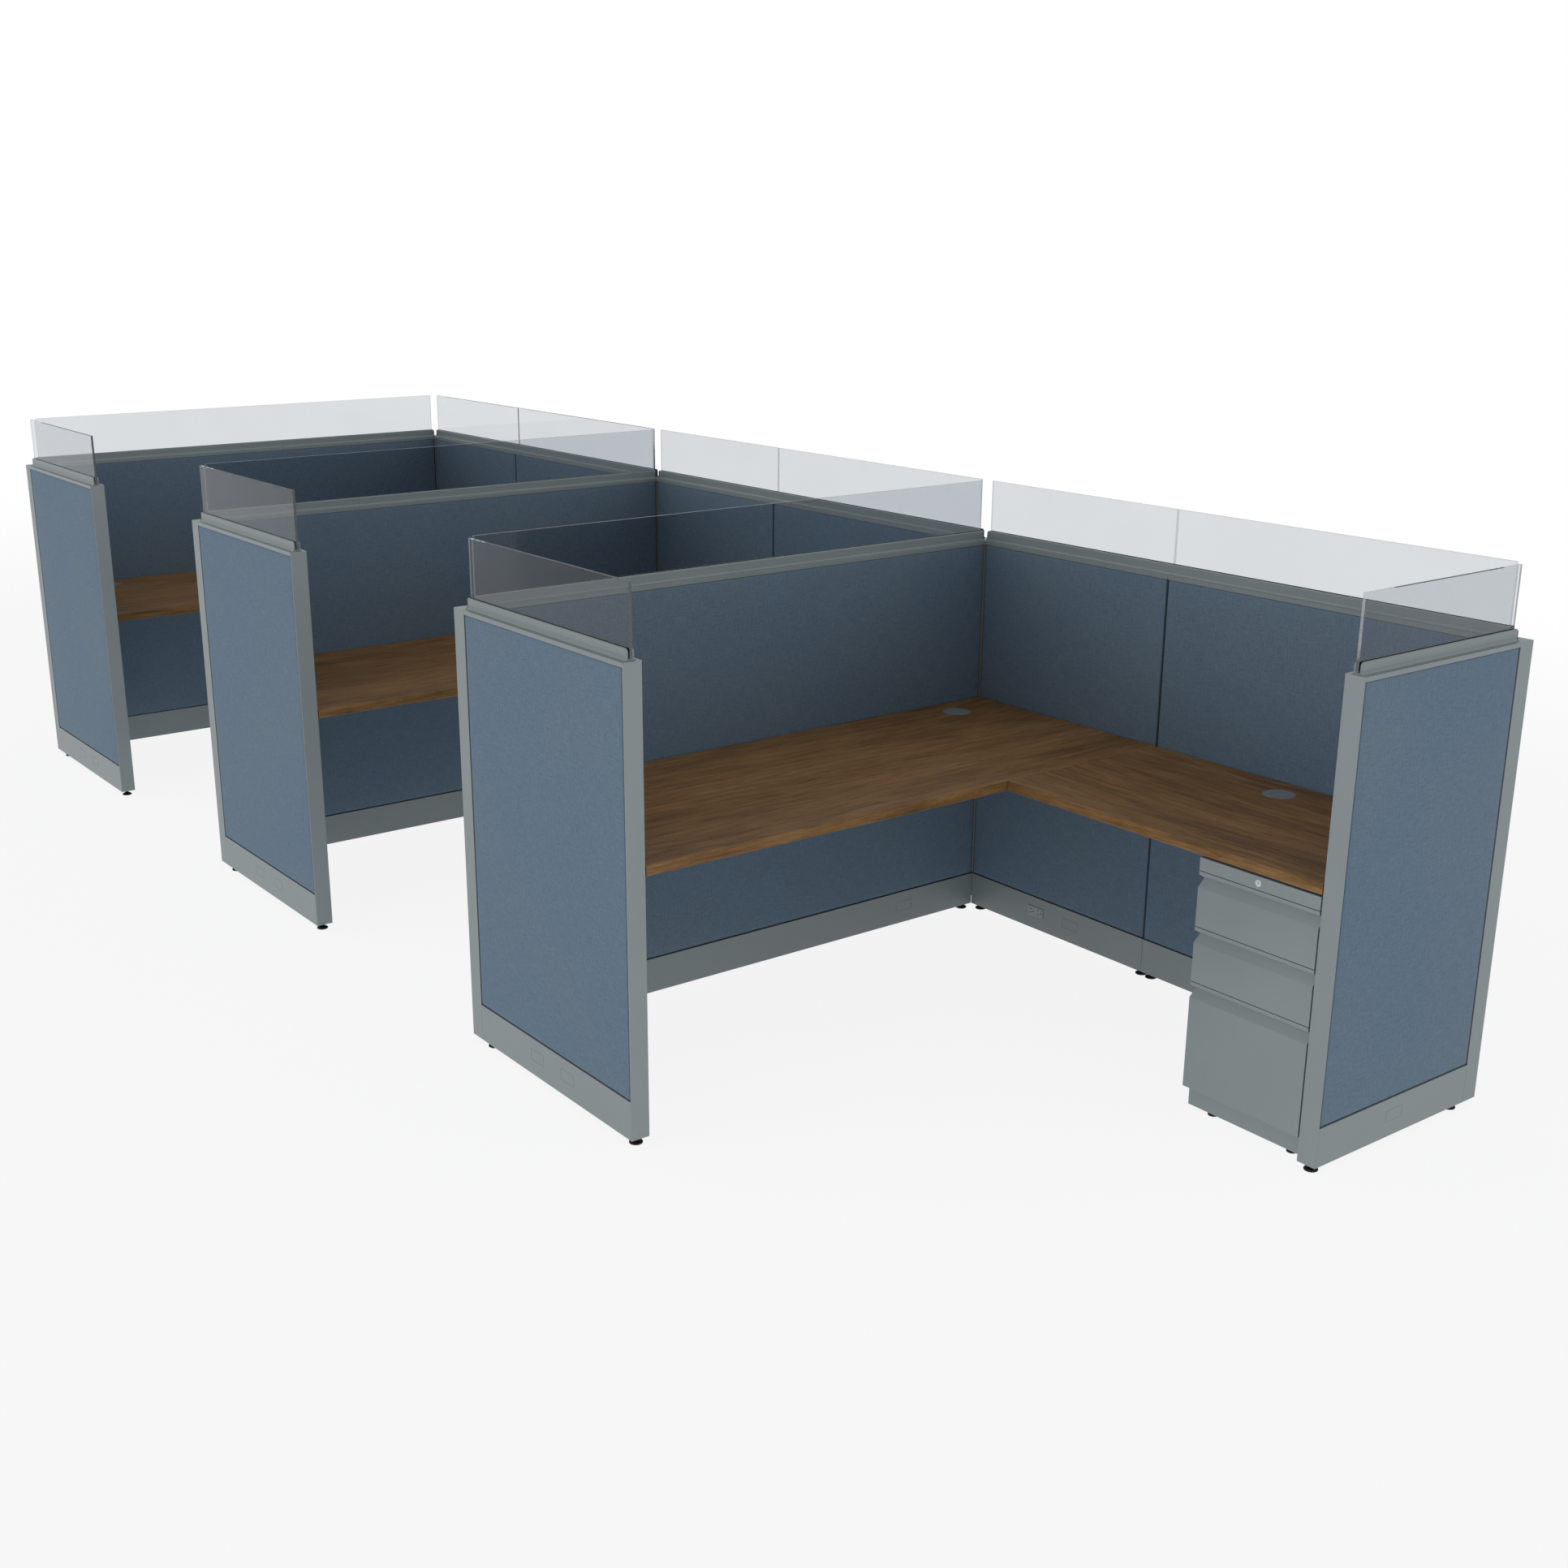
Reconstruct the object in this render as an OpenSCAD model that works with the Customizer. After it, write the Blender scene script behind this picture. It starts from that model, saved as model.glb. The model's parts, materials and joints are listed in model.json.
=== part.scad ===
// A row of three joined cubicle stations: a fabric panel system with glass toppers, cable
// raceways, L-shaped worktops and locking drawer pedestals. Millimetres, Z up, origin on the
// floor at the centre of the row. The spine runs along X at the back, the stations open to -Y.

/* [Panels] */
// Thickness of every panel, and so the width of every post
panel_t = 54; // [50:1:60]
// Length of the spine panel beside the main worktop
spine_short = 762; // [720:1:800]
// Length of the second spine panel of a station
spine_long = 1067; // [1020:1:1120]
// Length of the divider between two stations
divider_len = 1829; // [1700:1:1900]
// Length of the wing panel that closes the front of a main worktop
wing_len = 762; // [600:1:790]
// Length of the short panel that ends the row
end_len = 610; // [560:1:660]
// Height of a panel with its top cap, above the floor
panel_top = 1254; // [1150:1:1350]
// Height of the visible side of a top cap
cap_h = 12; // [10:1:16]
// Thickness of a fabric tile
tile_t = 8; // [6:1:10]
// Dark reveal round a tile, at the sides
tile_inset = 4; // [4:0.5:6]
// Width of a frame channel, seen face on
stile_w = 25; // [22:1:32]
// Thickness of the cap that closes a free panel end
end_cap_t = 3; // [2:0.5:5]

/* [Base raceway] */
// Height of the raceway's lower edge above the floor
base_gap = 19; // [16:1:24]
// Height of a raceway cover
raceway_h = 107; // [100:1:115]
// Dark reveal between a raceway cover and the tile above it
reveal = 4; // [3:0.5:6]
// Radius of a levelling foot under a panel
foot_r = 18; // [15:1:20]
// Width of a knockout or a duplex outlet
outlet_w = 66; // [62:1:72]
// Height of a knockout or a duplex outlet
outlet_h = 33; // [30:1:36]

/* [Glass topper] */
// Height of a pane
glass_h = 182; // [120:1:300]
// Thickness of a pane
glass_t = 8; // [6:1:10]
// Width of the holder over its flanks
holder_w = 21; // [19:1:26]
// Height of the holder above the top cap
holder_h = 30; // [26:1:36]

/* [Worktops] */
// Height of the worktops above the floor
worktop_h = 744; // [730:1:760]
// Thickness of a worktop
worktop_t = 28; // [25:1:32]
// Depth of the main worktop, out from the divider
main_depth = 762; // [700:1:780]
// Depth of the return worktop, out from the spine
return_depth = 610; // [600:1:640]
// Wire gap between a worktop and the panel behind it
wire_gap = 6.5; // [5:0.5:10]
// Radius of a grommet's flange
grommet_r = 45; // [40:1:50]

/* [Pedestals] */
// Width of a pedestal
ped_w = 366; // [350:1:380]
// Depth of a pedestal with its drawer fronts
ped_depth = 575; // [560:1:600]
// Height of a box drawer's front
box_front_h = 148; // [140:1:155]
// Depth of a drawer front, from its face to the case
front_t = 28; // [27:0.5:32]
// Height of the top rail that carries the lock
rail_h = 34.5; // [32:0.5:38]

/* [Hidden] */
$fn = 32;

// Stations in the row; the names above count them
stations = 3;
last = stations - 1;

// Clearances and sheet metal
run_fit = 0.4;
turn_fit = 0.05;
seat_fit = 0.05;
frame_fit = 0.2;
seam = 0.5;
over = 1;
sheet = 1.2;
plate = 1.5;

// The grid of the row
half_t = panel_t / 2;
pitch = spine_short + spine_long + panel_t;
depth = divider_len + panel_t;
spine_y = depth / 2;
front_y = -depth / 2;
function cross_x(k) = (k - stations / 2) * pitch;

// A panel with a free end is this much longer, for the joint that it lacks
free_extra = 4;

// Where each panel starts, which way it runs and how long it is: [x, y, angle, length]
spine_panels = [for (k = [0:last]) each [
    [cross_x(k) + half_t, spine_y, 0, spine_short],
    [cross_x(k) + half_t + spine_short, spine_y, 0, spine_long]
]];
divider_panels = [for (k = [0:last]) [cross_x(k), spine_y - half_t, -90, divider_len]];
wing_panels = [for (k = [0:last]) [cross_x(k) + half_t, front_y, 0, wing_len + free_extra]];
end_panel = [cross_x(stations), spine_y - half_t, -90, end_len + free_extra];
free_panels = concat(wing_panels, [end_panel]);
all_panels = concat(spine_panels, divider_panels, free_panels);

// Heights in a panel
raceway_top = base_gap + raceway_h;
tile_z = raceway_top + reveal;
cap_under = panel_top - plate;
tile_top = panel_top - cap_h - seam;
frame_y = half_t - tile_t;

// Frame
mid_rail_drop = 66;
long_panel = 1000;
hanger_x = 70;
hanger_w = 30;
hanger_h = 26;
leg_r = 9;
leg_foot_plate = 3;
leg_plate_w = 36;

// Levelling feet
foot_inset = 20;
foot_h = 9;
foot_rim_h = 4;
foot_edge = 1;
stem_r = 5;
stem_h = 80;
ped_stem_h = 60;
ped_foot_r = 14;
ped_foot_x = 57;
ped_foot_y = 62;

// Slots for the worktop brackets, in the frame's face beside the end web
slot_w = 2.4;
slot_h = 18;
slot_pitch = 32;
slot_count = 3;

// Fabric tile, raceway and outlet
tile_round = 2;
lip_w = 12;
groove_w = 1;
groove_d = 0.6;
knockout_from_end = 305;
outlet_z = 78;
outlet_gap = 0.4;
outlet_proud = 1.8;
outlet_t = 4.3;
socket_pitch = 33;
blade_w = 1.8;
blade_l = 7;
blade_gap = 12;
ground_r = 2.4;
ground_off = 9;
socket_d = 3;

// Wiring in the spine's raceway
harness_y = 17.75;
harness_t = 13.5;
harness_h = 30;
block_l = 260;
conduit_r = 6.5;
harness_from_end = 67;

// Posts: the hollow core stands back from its covers, but not at the inner corner
cover_t = 1.5;
core_wall = 2;
core_gap = 0.2;
core_back = half_t - cover_t - core_gap;
core_in = half_t - seam;

// Glass topper
holder_end = 18;
holder_free = 8;
glass_end = 26;
glass_free = 4;
pane_gap = 3;
gasket_t = 2;
slot_floor = 5;
lip_round = 3.5;
cove_r = 6;
cove_base = 1;
end_round = 9;
end_plate = 3;
pane_z = panel_top + slot_floor + gasket_t;
slot_half = glass_t / 2 + gasket_t;

// Worktops
worktop_z = worktop_h - worktop_t;
edge_gap = 3;
seam_gap = 1;
inner_w = pitch - panel_t;
inner_d = depth - panel_t;
edge_round = 1.5;
main_x = half_t + wire_gap;
return_x = main_x + main_depth + seam_gap;
return_len = inner_w + half_t - edge_gap - return_x;
main_y = front_y + half_t + edge_gap;
main_len = inner_d - wire_gap - edge_gap;
worktop_front_y = spine_y - half_t - wire_gap - return_depth;

// Grommets
grommet_side = 103;
grommet_from_end = 194;
grommet_wall = 2;
grommet_lap = 5;
grommet_bore_r = grommet_r - grommet_lap;
flange_h = 2;
flange_edge = 0.5;
flange_rim = 3.5;
liner_depth = 20;
cap_r = grommet_r - flange_rim;
cap_t = 1.6;
cap_skirt_h = 9;

// Brackets, plates and screws under a worktop
bracket_l = 460;
bracket_tip_h = 24;
bracket_root_h = 112;
bracket_root_l = 30;
bracket_t = 2;
bracket_top_w = 30;
bracket_top_from = 16;
hook_l = 5;
screw_r = 2;
screw_head_r = 4;
screw_head_h = 2;
screw_l = 14;
screw_from_tip = 30;
screw_from_root = 90;
join_w = 40;
join_l = 110;
join_from_front = 80;
join_screw_x = 42;
join_screw_y = 10;
join_t = 2.5;
pad_r = 12;
pad_from_side = 50;
pad_from_front = 90;

// Pedestals
ped_gap = 4;
ped_air = 5.5;
ped_base = 20;
front_reveal = 2;
toe_h = 61;
ped_top = worktop_z - ped_air;
rail_z = ped_top - rail_h;
front_z0 = ped_base + toe_h;
mid_front_z = rail_z - 2 * (front_reveal + box_front_h);
file_front_h = mid_front_z - front_reveal - front_z0;
case_y = front_t + seam;
case_back = ped_depth - sheet;
shelf_drop = 9;
shelf_z = front_z0 - shelf_drop;
hem_l = 12;
ped_y = worktop_front_y;
function ped_x(k) = cross_x(k + 1) - half_t - ped_gap - ped_w;

// Drawers, counted from the top
top = 0;
middle = 1;
file = 2;
front_h_list = [box_front_h, box_front_h, file_front_h];
front_z_list = [rail_z - front_reveal - box_front_h, mid_front_z, front_z0];
pull_lip = 9;
pull_d = 23;
pull_up = 13;
pull_down = 21;
flange = 15;
box_l = 500;
box_lift = 12;
box_drop = 33;
file_drop = 42;
hem_w = 7;
slide_space = 12.7;
box_x = sheet + slide_space;
box_w = ped_w - 2 * box_x;
box_y = front_t;
box_back = box_y + box_l;
rail_rod_r = 2.5;
file_span = 305;
drop_list = [box_drop, box_drop, file_drop];
function box_z(d) = front_z_list[d] + box_lift;
function box_h(d) = front_h_list[d] - drop_list[d] - box_lift;

// Telescopic slides: a fixed channel, a middle channel and the drawer's own channel
slide_h = 45;
slide_back = 20;
slide_l = box_l - 2 * slide_back;
slide_y = box_y + slide_back;
lip_reach = 9;
mid_reach = 7.8;
own_reach = 8.1;
function slide_z(d) = box_z(d) + box_h(d) / 2;

// Lock: plug, tail rod and cam at the top; the cam pin shifts a bar behind the drawers sideways
lock_x = ped_w / 2;
lock_z = rail_z + rail_h / 2;
plug_r = 8;
plug_l = 22;
plug_head_r = 9;
plug_head_t = 1.2;
barrel_r = 10.5;
barrel_l = 20;
key_w = 2;
key_h = 8;
key_d = 6;
rod_r = 3;
cam_throw = 8;
cam_t = 4;
cam_r = 3.5;
cam_pin_r = 2.5;
cam_slack = 2.2;
bar_w = 24;
bar_t = 3;
bar_from_box = 20;
bar_from_shelf = 20;
bar_rim = 2;
bar_x = lock_x + cam_throw;
bar_y = box_back + bar_from_box;
bar_z = front_z0 + bar_from_shelf;
// A drawer's catch and the bar's finger: angle brackets with a riveted stud each
catch_l = 18;
catch_w = 20;
catch_t = 2;
catch_flange_h = 12;
catch_from_top = 20;
stud_r = 3;
stud_neck_r = 2;
stud_head_h = 1;
stud_l = 8;
stud_from_end = 4;
stud_gap = 1;
stud_pass = 2;
hung_y = box_back + catch_l - stud_from_end;
stood_y = hung_y - 2 * stud_r - stud_gap;
guide_r = 3;
guide_head_r = 6;
guide_head_t = 2;
guide_z = [150, 400];
bearing_t = 3;
bearing_w = 16;
bearing_from_back = 20;
bearing_y = box_back - bearing_from_back;
function catch_z(d) = box_z(d) + box_h(d) - catch_from_top;

// Places children in a panel's own frame: it runs along +X from zero, its faces look to Y
module on_panel(p) {
    translate([p[0], p[1], 0]) rotate([0, 0, p[2]]) children();
}

// A bar of an L, C or other outline, standing up from z over a height
module upright(z, h) {
    translate([0, 0, z]) linear_extrude(height = h) children();
}

// A section drawn across Y and Z, swept along X from x over a length
module sweep_x(x, len) {
    translate([x, 0, 0]) rotate([90, 0, 90]) linear_extrude(height = len) children();
}

// A rectangle between two corners
module rect(x0, y0, x1, y1) {
    translate([x0, y0]) square([x1 - x0, y1 - y0]);
}

// A box between two corners
module block(a, b) {
    translate(a) cube(b - a);
}

// Outline of a channel: a web across Y at the start of X, and two lips along X
module channel(half_w, reach, wall) {
    rect(0, -half_w, wall, half_w);
    rect(0, -half_w, reach, -half_w + wall);
    rect(0, half_w - wall, reach, half_w);
}

// A post of a frame, a channel with its web at the panel's end
module stile(z0, z1) {
    upright(z0, z1 - z0) channel(frame_y, stile_w, plate);
}

// A rail of a frame between two stiles, with its web below or above its lips
module rail(len, z, web_up) {
    web = web_up ? [z + stile_w - plate, z + stile_w] : [z, z + plate];
    block([stile_w, -frame_y, web[0]], [len - stile_w, frame_y, web[1]]);
    for (s = [-1, 1]) {
        y0 = s < 0 ? -frame_y : frame_y - plate;
        block([stile_w, y0, z], [len - stile_w, y0 + plate, z + stile_w]);
    }
}

// A foot plate and leg that takes a levelling foot's stem
module leg(x) {
    difference() {
        union() {
            block([x - leg_plate_w / 2, -frame_y, tile_z - leg_foot_plate],
                  [x + leg_plate_w / 2, frame_y, tile_z]);
            translate([x, 0, base_gap + reveal])
                cylinder(r = leg_r, h = tile_z - base_gap - reveal - leg_foot_plate);
        }
        translate([x, 0, 0]) cylinder(r = stem_r + turn_fit, h = stem_h + over);
    }
}

// A bracket under the bottom rail that both raceway covers clip to
module cover_hanger(x) {
    z = tile_z - hanger_h;
    block([x, -leg_r, z], [x + plate, leg_r, tile_z]);
    block([x - hanger_w / 2, -half_t + sheet, z],
          [x + hanger_w / 2, half_t - sheet, z + plate]);
}

// Rows of slots where a worktop bracket hooks in, beside the web of the stile at x
module bracket_slots(x, side) {
    y = side * frame_y;
    for (i = [0:slot_count - 1])
        block([x, y - 2 * plate, worktop_z - bracket_tip_h - i * slot_pitch - slot_h],
              [x + slot_w, y + 2 * plate, worktop_z - bracket_tip_h - i * slot_pitch]);
}

// The welded steel frame inside a panel
module panel_frame(len) {
    difference() {
        union() {
            translate([frame_fit, 0, 0]) stile(tile_z, cap_under);
            translate([len - frame_fit, 0, 0]) mirror([1, 0, 0]) stile(tile_z, cap_under);
            rail(len, tile_z, false);
            rail(len, worktop_z - mid_rail_drop - stile_w, false);
            rail(len, cap_under - stile_w, true);
            if (len > long_panel)
                block([len / 2 - stile_w / 2, -frame_y, tile_z + plate],
                      [len / 2 + stile_w / 2, -frame_y + plate, cap_under - plate]);
            leg(foot_inset);
            leg(len - foot_inset);
            cover_hanger(hanger_x);
            cover_hanger(len - hanger_x);
            if (len > long_panel) cover_hanger(len / 2);
        }
        for (side = [-1, 1]) {
            bracket_slots(frame_fit + plate, side);
            bracket_slots(len - frame_fit - plate - slot_w, side);
        }
    }
}

module panel_frames() {
    color("dimgray") for (p = all_panels) on_panel(p) panel_frame(p[3]);
}

// A fabric-covered tile on one face of a panel, its outer upright edges rounded
module tile(len, side) {
    w = len - 2 * tile_inset;
    r = tile_round;
    upright(tile_z, tile_top - tile_z) translate([tile_inset, 0]) scale([1, side]) {
        rect(0, frame_y, w, half_t - r);
        rect(r, frame_y, w - r, half_t);
        for (x = [r, w - r]) translate([x, half_t - r]) circle(r);
    }
}

module tiles(panels) {
    color("#5f7486") for (p = panels) on_panel(p) for (side = [-1, 1]) tile(p[3], side);
}

module spine_tiles() {
    tiles(spine_panels);
}

module divider_tiles() {
    tiles(divider_panels);
}

module wing_tiles() {
    tiles(free_panels);
}

// Places of the knockouts along a panel; a short panel has one in its middle
function knockouts(len) = len > 2 * knockout_from_end + outlet_w
    ? [knockout_from_end, len - knockout_from_end]
    : [len / 2];

// Does the cover on this face have a fitted outlet? Only the station side of a short spine panel
function has_outlet(p, side) = side < 0 && p[1] == spine_y && p[3] == spine_short;

// A thin groove round a rectangle in the face at y, the line that a knockout breaks along
module knockout_groove(x, y, side) {
    y0 = side < 0 ? y - over : y - groove_d;
    y1 = side < 0 ? y + groove_d : y + over;
    w = outlet_w / 2;
    h = outlet_h / 2;
    difference() {
        block([x - w, y0, outlet_z - h], [x + w, y1, outlet_z + h]);
        block([x - w + groove_w, y0 - over, outlet_z - h + groove_w],
              [x + w - groove_w, y1 + over, outlet_z + h - groove_w]);
    }
}

// A steel raceway cover with turned-in lips, its knockouts and, on some, an outlet's opening
module raceway_cover(p, side) {
    len = p[3];
    outlet = has_outlet(p, side);
    places = knockouts(len);
    difference() {
        sweep_x(seam, len - 2 * seam) scale([side, 1]) {
            rect(half_t - sheet, base_gap, half_t, raceway_top);
            rect(half_t - lip_w, base_gap, half_t, base_gap + sheet);
            rect(half_t - lip_w, raceway_top - sheet, half_t, raceway_top);
        }
        for (i = [0:len(places) - 1])
            if (outlet && i == 0)
                block([places[i] - outlet_w / 2 - outlet_gap, -half_t - over,
                       outlet_z - outlet_h / 2 - outlet_gap],
                      [places[i] + outlet_w / 2 + outlet_gap, -half_t + sheet + over,
                       outlet_z + outlet_h / 2 + outlet_gap]);
            else
                knockout_groove(places[i], side * half_t, side);
    }
}

module raceway_covers() {
    color("#858d8d") for (p = all_panels) on_panel(p)
        for (side = [-1, 1]) raceway_cover(p, side);
}

// A channel over the top of a panel
module top_caps() {
    color("#858d8d") for (p = all_panels) on_panel(p) sweep_x(seam, p[3] - 2 * seam) {
        rect(-half_t, cap_under, half_t, panel_top);
        for (s = [-1, 1]) scale([s, 1]) rect(half_t - plate, panel_top - cap_h, half_t, panel_top);
    }
}

// Runs of glass: [x, y, angle, length between post centres or to the free end, is it free?]
glass_runs = concat(
    [for (k = [0:last]) [cross_x(k), spine_y, 0, pitch, false]],
    [for (k = [0:last]) [cross_x(k), spine_y, -90, depth, false]],
    [for (k = [0:last]) [cross_x(k), front_y, 0, half_t + wing_len + free_extra + end_cap_t, true]],
    [[cross_x(stations), spine_y, -90, half_t + end_len + free_extra + end_cap_t, true]]
);

// Where the grey part of a holder starts and ends along its run
holder_first = holder_end + end_plate;
function holder_last(run) = run[3] - (run[4] ? holder_free : holder_first);

// Outline of a holder: a coved foot, upright flanks and rounded lips beside the glass
module holder_outline() {
    w = holder_w / 2;
    for (s = [-1, 1]) scale([s, 1]) {
        rect(0, 0, w, holder_h - lip_round);
        rect(0, 0, w - lip_round, holder_h);
        translate([w - lip_round, holder_h - lip_round]) circle(lip_round);
        rect(0, 0, w + cove_r, cove_base);
        difference() {
            rect(w, 0, w + cove_r, cove_base + cove_r);
            translate([w + cove_r, cove_base + cove_r]) circle(cove_r);
        }
    }
}

// The corner that rounds off the top of a holder's end, cut across it
module end_rounding(x, dir) {
    translate([x, 0, panel_top + holder_h - end_round]) rotate([90, 0, 0])
        linear_extrude(height = 2 * panel_t, center = true) scale([dir, 1]) difference() {
            rect(-over, 0, end_round, end_round + over);
            translate([end_round, 0]) circle(end_round);
        }
}

// A length of holder, slotted for the glass; black plates close its ends at a corner
module holder(run) {
    end = holder_last(run);
    difference() {
        translate([0, 0, panel_top]) sweep_x(holder_first, end - holder_first) difference() {
            holder_outline();
            rect(-slot_half, slot_floor, slot_half, holder_h + over);
        }
        if (run[4]) end_rounding(end, -1);
    }
}

module glass_holders() {
    color("#858d8d") for (run = glass_runs) on_panel(run) holder(run);
}

// Ends of the panes along a run; a run over two spine panels has two panes
function pane_ends(run) = let (
        end = run[3] - (run[4] ? glass_free : glass_end),
        joint = half_t + spine_short
    ) run[2] == 0 && !run[4]
        ? [[glass_end, joint - pane_gap / 2], [joint + pane_gap / 2, end]]
        : [[glass_end, end]];

module glass_panes() {
    color([0.86, 0.89, 0.9, 0.4]) for (run = glass_runs) on_panel(run)
        for (e = pane_ends(run))
            block([e[0], -glass_t / 2, pane_z], [e[1], glass_t / 2, pane_z + glass_h]);
}

// The black gasket that lines a holder's slot, and the end plates at the corners
module gasket(run) {
    end = holder_last(run);
    lined = run[4] ? end - end_round : end;
    first = holder_first + seat_fit;
    translate([0, 0, panel_top]) sweep_x(first, lined - seat_fit - first) difference() {
        rect(-slot_half, slot_floor, slot_half, holder_h);
        rect(-glass_t / 2, slot_floor + gasket_t, glass_t / 2, holder_h + over);
    }
    difference() {
        union() {
            translate([0, 0, panel_top]) sweep_x(holder_end, end_plate) holder_outline();
            if (!run[4]) translate([0, 0, panel_top]) sweep_x(end, end_plate) holder_outline();
        }
        end_rounding(holder_end, 1);
        if (!run[4]) end_rounding(end + end_plate, -1);
    }
}

module glazing_gaskets() {
    color("#15181a") for (run = glass_runs) on_panel(run) gasket(run);
}

// Posts: [x, y, is -X covered, is +X covered, is -Y covered, is +Y covered]
posts = concat(
    [for (k = [0:last]) [cross_x(k), front_y, true, false, true, false]],
    [[cross_x(0), spine_y, true, false, false, true]],
    [for (k = [1:last]) [cross_x(k), spine_y, false, false, false, true]],
    [[cross_x(stations), spine_y, false, true, false, true]]
);

// The hollow extrusion that the frames meet at
module corner_posts() {
    reach = function (covered) covered ? core_back : core_in;
    color("#6d7474") for (p = posts) translate([p[0], p[1], 0])
        upright(tile_z, cap_under - tile_z) difference() {
            rect(-reach(p[2]), -reach(p[4]), reach(p[3]), reach(p[5]));
            rect(core_wall - reach(p[2]), core_wall - reach(p[4]),
                 reach(p[3]) - core_wall, reach(p[5]) - core_wall);
        }
}

// A cover for the bare sides of a post, with the plate that closes its top
module post_cover(p) {
    h = panel_top - base_gap;
    translate([p[0], p[1], 0]) {
        upright(base_gap, h) {
            if (p[2]) rect(-half_t, -half_t, -half_t + cover_t, half_t);
            if (p[3]) rect(half_t - cover_t, -half_t, half_t, half_t);
            if (p[4]) rect(-half_t, -half_t, half_t, -half_t + cover_t);
            if (p[5]) rect(-half_t, half_t - cover_t, half_t, half_t);
        }
        upright(cap_under, plate) rect(-half_t, -half_t, half_t, half_t);
    }
}

module post_covers() {
    color("#858d8d") for (p = posts) post_cover(p);
}

// The moulding that closes a free panel end: rounded edges, and two tongues that grip the frame
module end_caps() {
    r = end_cap_t / 2;
    grip = tile_inset - seam;
    color("#858d8d") for (p = free_panels) on_panel(p) translate([p[3], 0, 0]) {
        upright(base_gap, panel_top - base_gap) {
            rect(0, -half_t + r, end_cap_t, half_t - r);
            rect(0, -half_t, r, half_t);
            for (s = [-1, 1]) translate([r, s * (half_t - r)]) circle(r);
        }
        upright(tile_z, tile_top - tile_z) for (s = [-1, 1]) scale([1, s])
            rect(-grip, frame_y, r, frame_y + plate);
    }
}

// A levelling foot: a turned pad on a threaded stem
module foot(r, h) {
    rotate_extrude() {
        polygon([[0, 0], [r - foot_edge, 0], [r, foot_edge], [r, foot_rim_h], [r / 2, foot_h],
                 [0, foot_h]]);
        rect(0, 0, stem_r, h);
    }
}

module levelling_feet() {
    color("#101112") for (p = all_panels) on_panel(p)
        for (x = [foot_inset, p[3] - foot_inset]) translate([x, 0, 0]) foot(foot_r, stem_h);
}

// Where the fitted outlets are along the row
outlet_x = [for (k = [0:last]) cross_x(k) + half_t + knockout_from_end];

// The power distribution blocks and the conduits between them, in the spine's raceway
module power_harness() {
    y = spine_y - harness_y;
    half_l = block_l / 2;
    starts = [cross_x(0) + harness_from_end, for (x = outlet_x) x + half_l + seat_fit];
    ends = [for (x = outlet_x) x - half_l - seat_fit, cross_x(stations) - harness_from_end];
    color("#8f959a") {
        for (i = [0:stations]) translate([starts[i], y, outlet_z]) rotate([0, 90, 0])
            cylinder(r = conduit_r, h = ends[i] - starts[i]);
        for (x = outlet_x)
            block([x - half_l, y - harness_t / 2, outlet_z - harness_h / 2],
                  [x + half_l, y + harness_t / 2, outlet_z + harness_h / 2]);
    }
}

// Blade slots and ground hole of one socket, lying on its side
module socket_holes(x, y) {
    for (s = [-1, 1])
        block([x - blade_l, y - over, outlet_z + s * blade_gap / 2 - blade_w / 2],
              [x, y + socket_d, outlet_z + s * blade_gap / 2 + blade_w / 2]);
    translate([x + ground_off, y - over, outlet_z]) rotate([-90, 0, 0])
        cylinder(r = ground_r, h = socket_d + over);
}

module receptacles() {
    y = spine_y - half_t - outlet_proud;
    color("#7d8586") for (x = outlet_x) difference() {
        block([x - outlet_w / 2, y, outlet_z - outlet_h / 2],
              [x + outlet_w / 2, y + outlet_t, outlet_z + outlet_h / 2]);
        for (s = [-1, 1]) socket_holes(x + s * socket_pitch / 2 - blade_l / 4, y);
    }
}

// Grommet centres of station k: both ends of the main worktop, and the middle of the return
function main_grommets(k) = [for (y = [main_y + grommet_from_end,
                                       main_y + main_len - grommet_from_end])
    [cross_x(k) + main_x + grommet_side, y]];
function return_grommet(k) = [cross_x(k) + return_x + return_len / 2,
                              spine_y - half_t - wire_gap - grommet_side];
all_grommets = [for (k = [0:last]) each concat(main_grommets(k), [return_grommet(k)])];

// Screw places under the worktops of station k, [x, y, thickness under the worktop]
bracket_gap = frame_fit + plate + (slot_w - bracket_t) / 2;
bracket_screw_y = bracket_gap + bracket_top_w / 2;
bracket_screws = [screw_from_root, bracket_l - screw_from_tip];
seam_x = return_x - seam_gap / 2;
join_y = worktop_front_y + join_from_front;
function joint_screws(k, side) = [for (s = [-1, 1])
    [cross_x(k) + seam_x + side * join_screw_x, join_y + s * join_screw_y, join_t]];
function main_screws(k) = concat(
    [for (y = [front_y + half_t + bracket_screw_y, spine_y - half_t - bracket_screw_y],
          x = bracket_screws) [cross_x(k) + half_t + x, y, bracket_t]],
    joint_screws(k, -1)
);
function return_screws(k) = concat(
    [for (y = bracket_screws)
        [cross_x(k) + half_t + spine_short + bracket_screw_y, spine_y - half_t - y, bracket_t]],
    joint_screws(k, 1)
);

// Section of a worktop across its width, with rounded edges
module board_section(w) {
    r = edge_round;
    rect(0, r, w, worktop_t - r);
    rect(r, 0, w - r, worktop_t);
    for (x = [r, w - r], z = [r, worktop_t - r]) translate([x, z]) circle(r);
}

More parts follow.
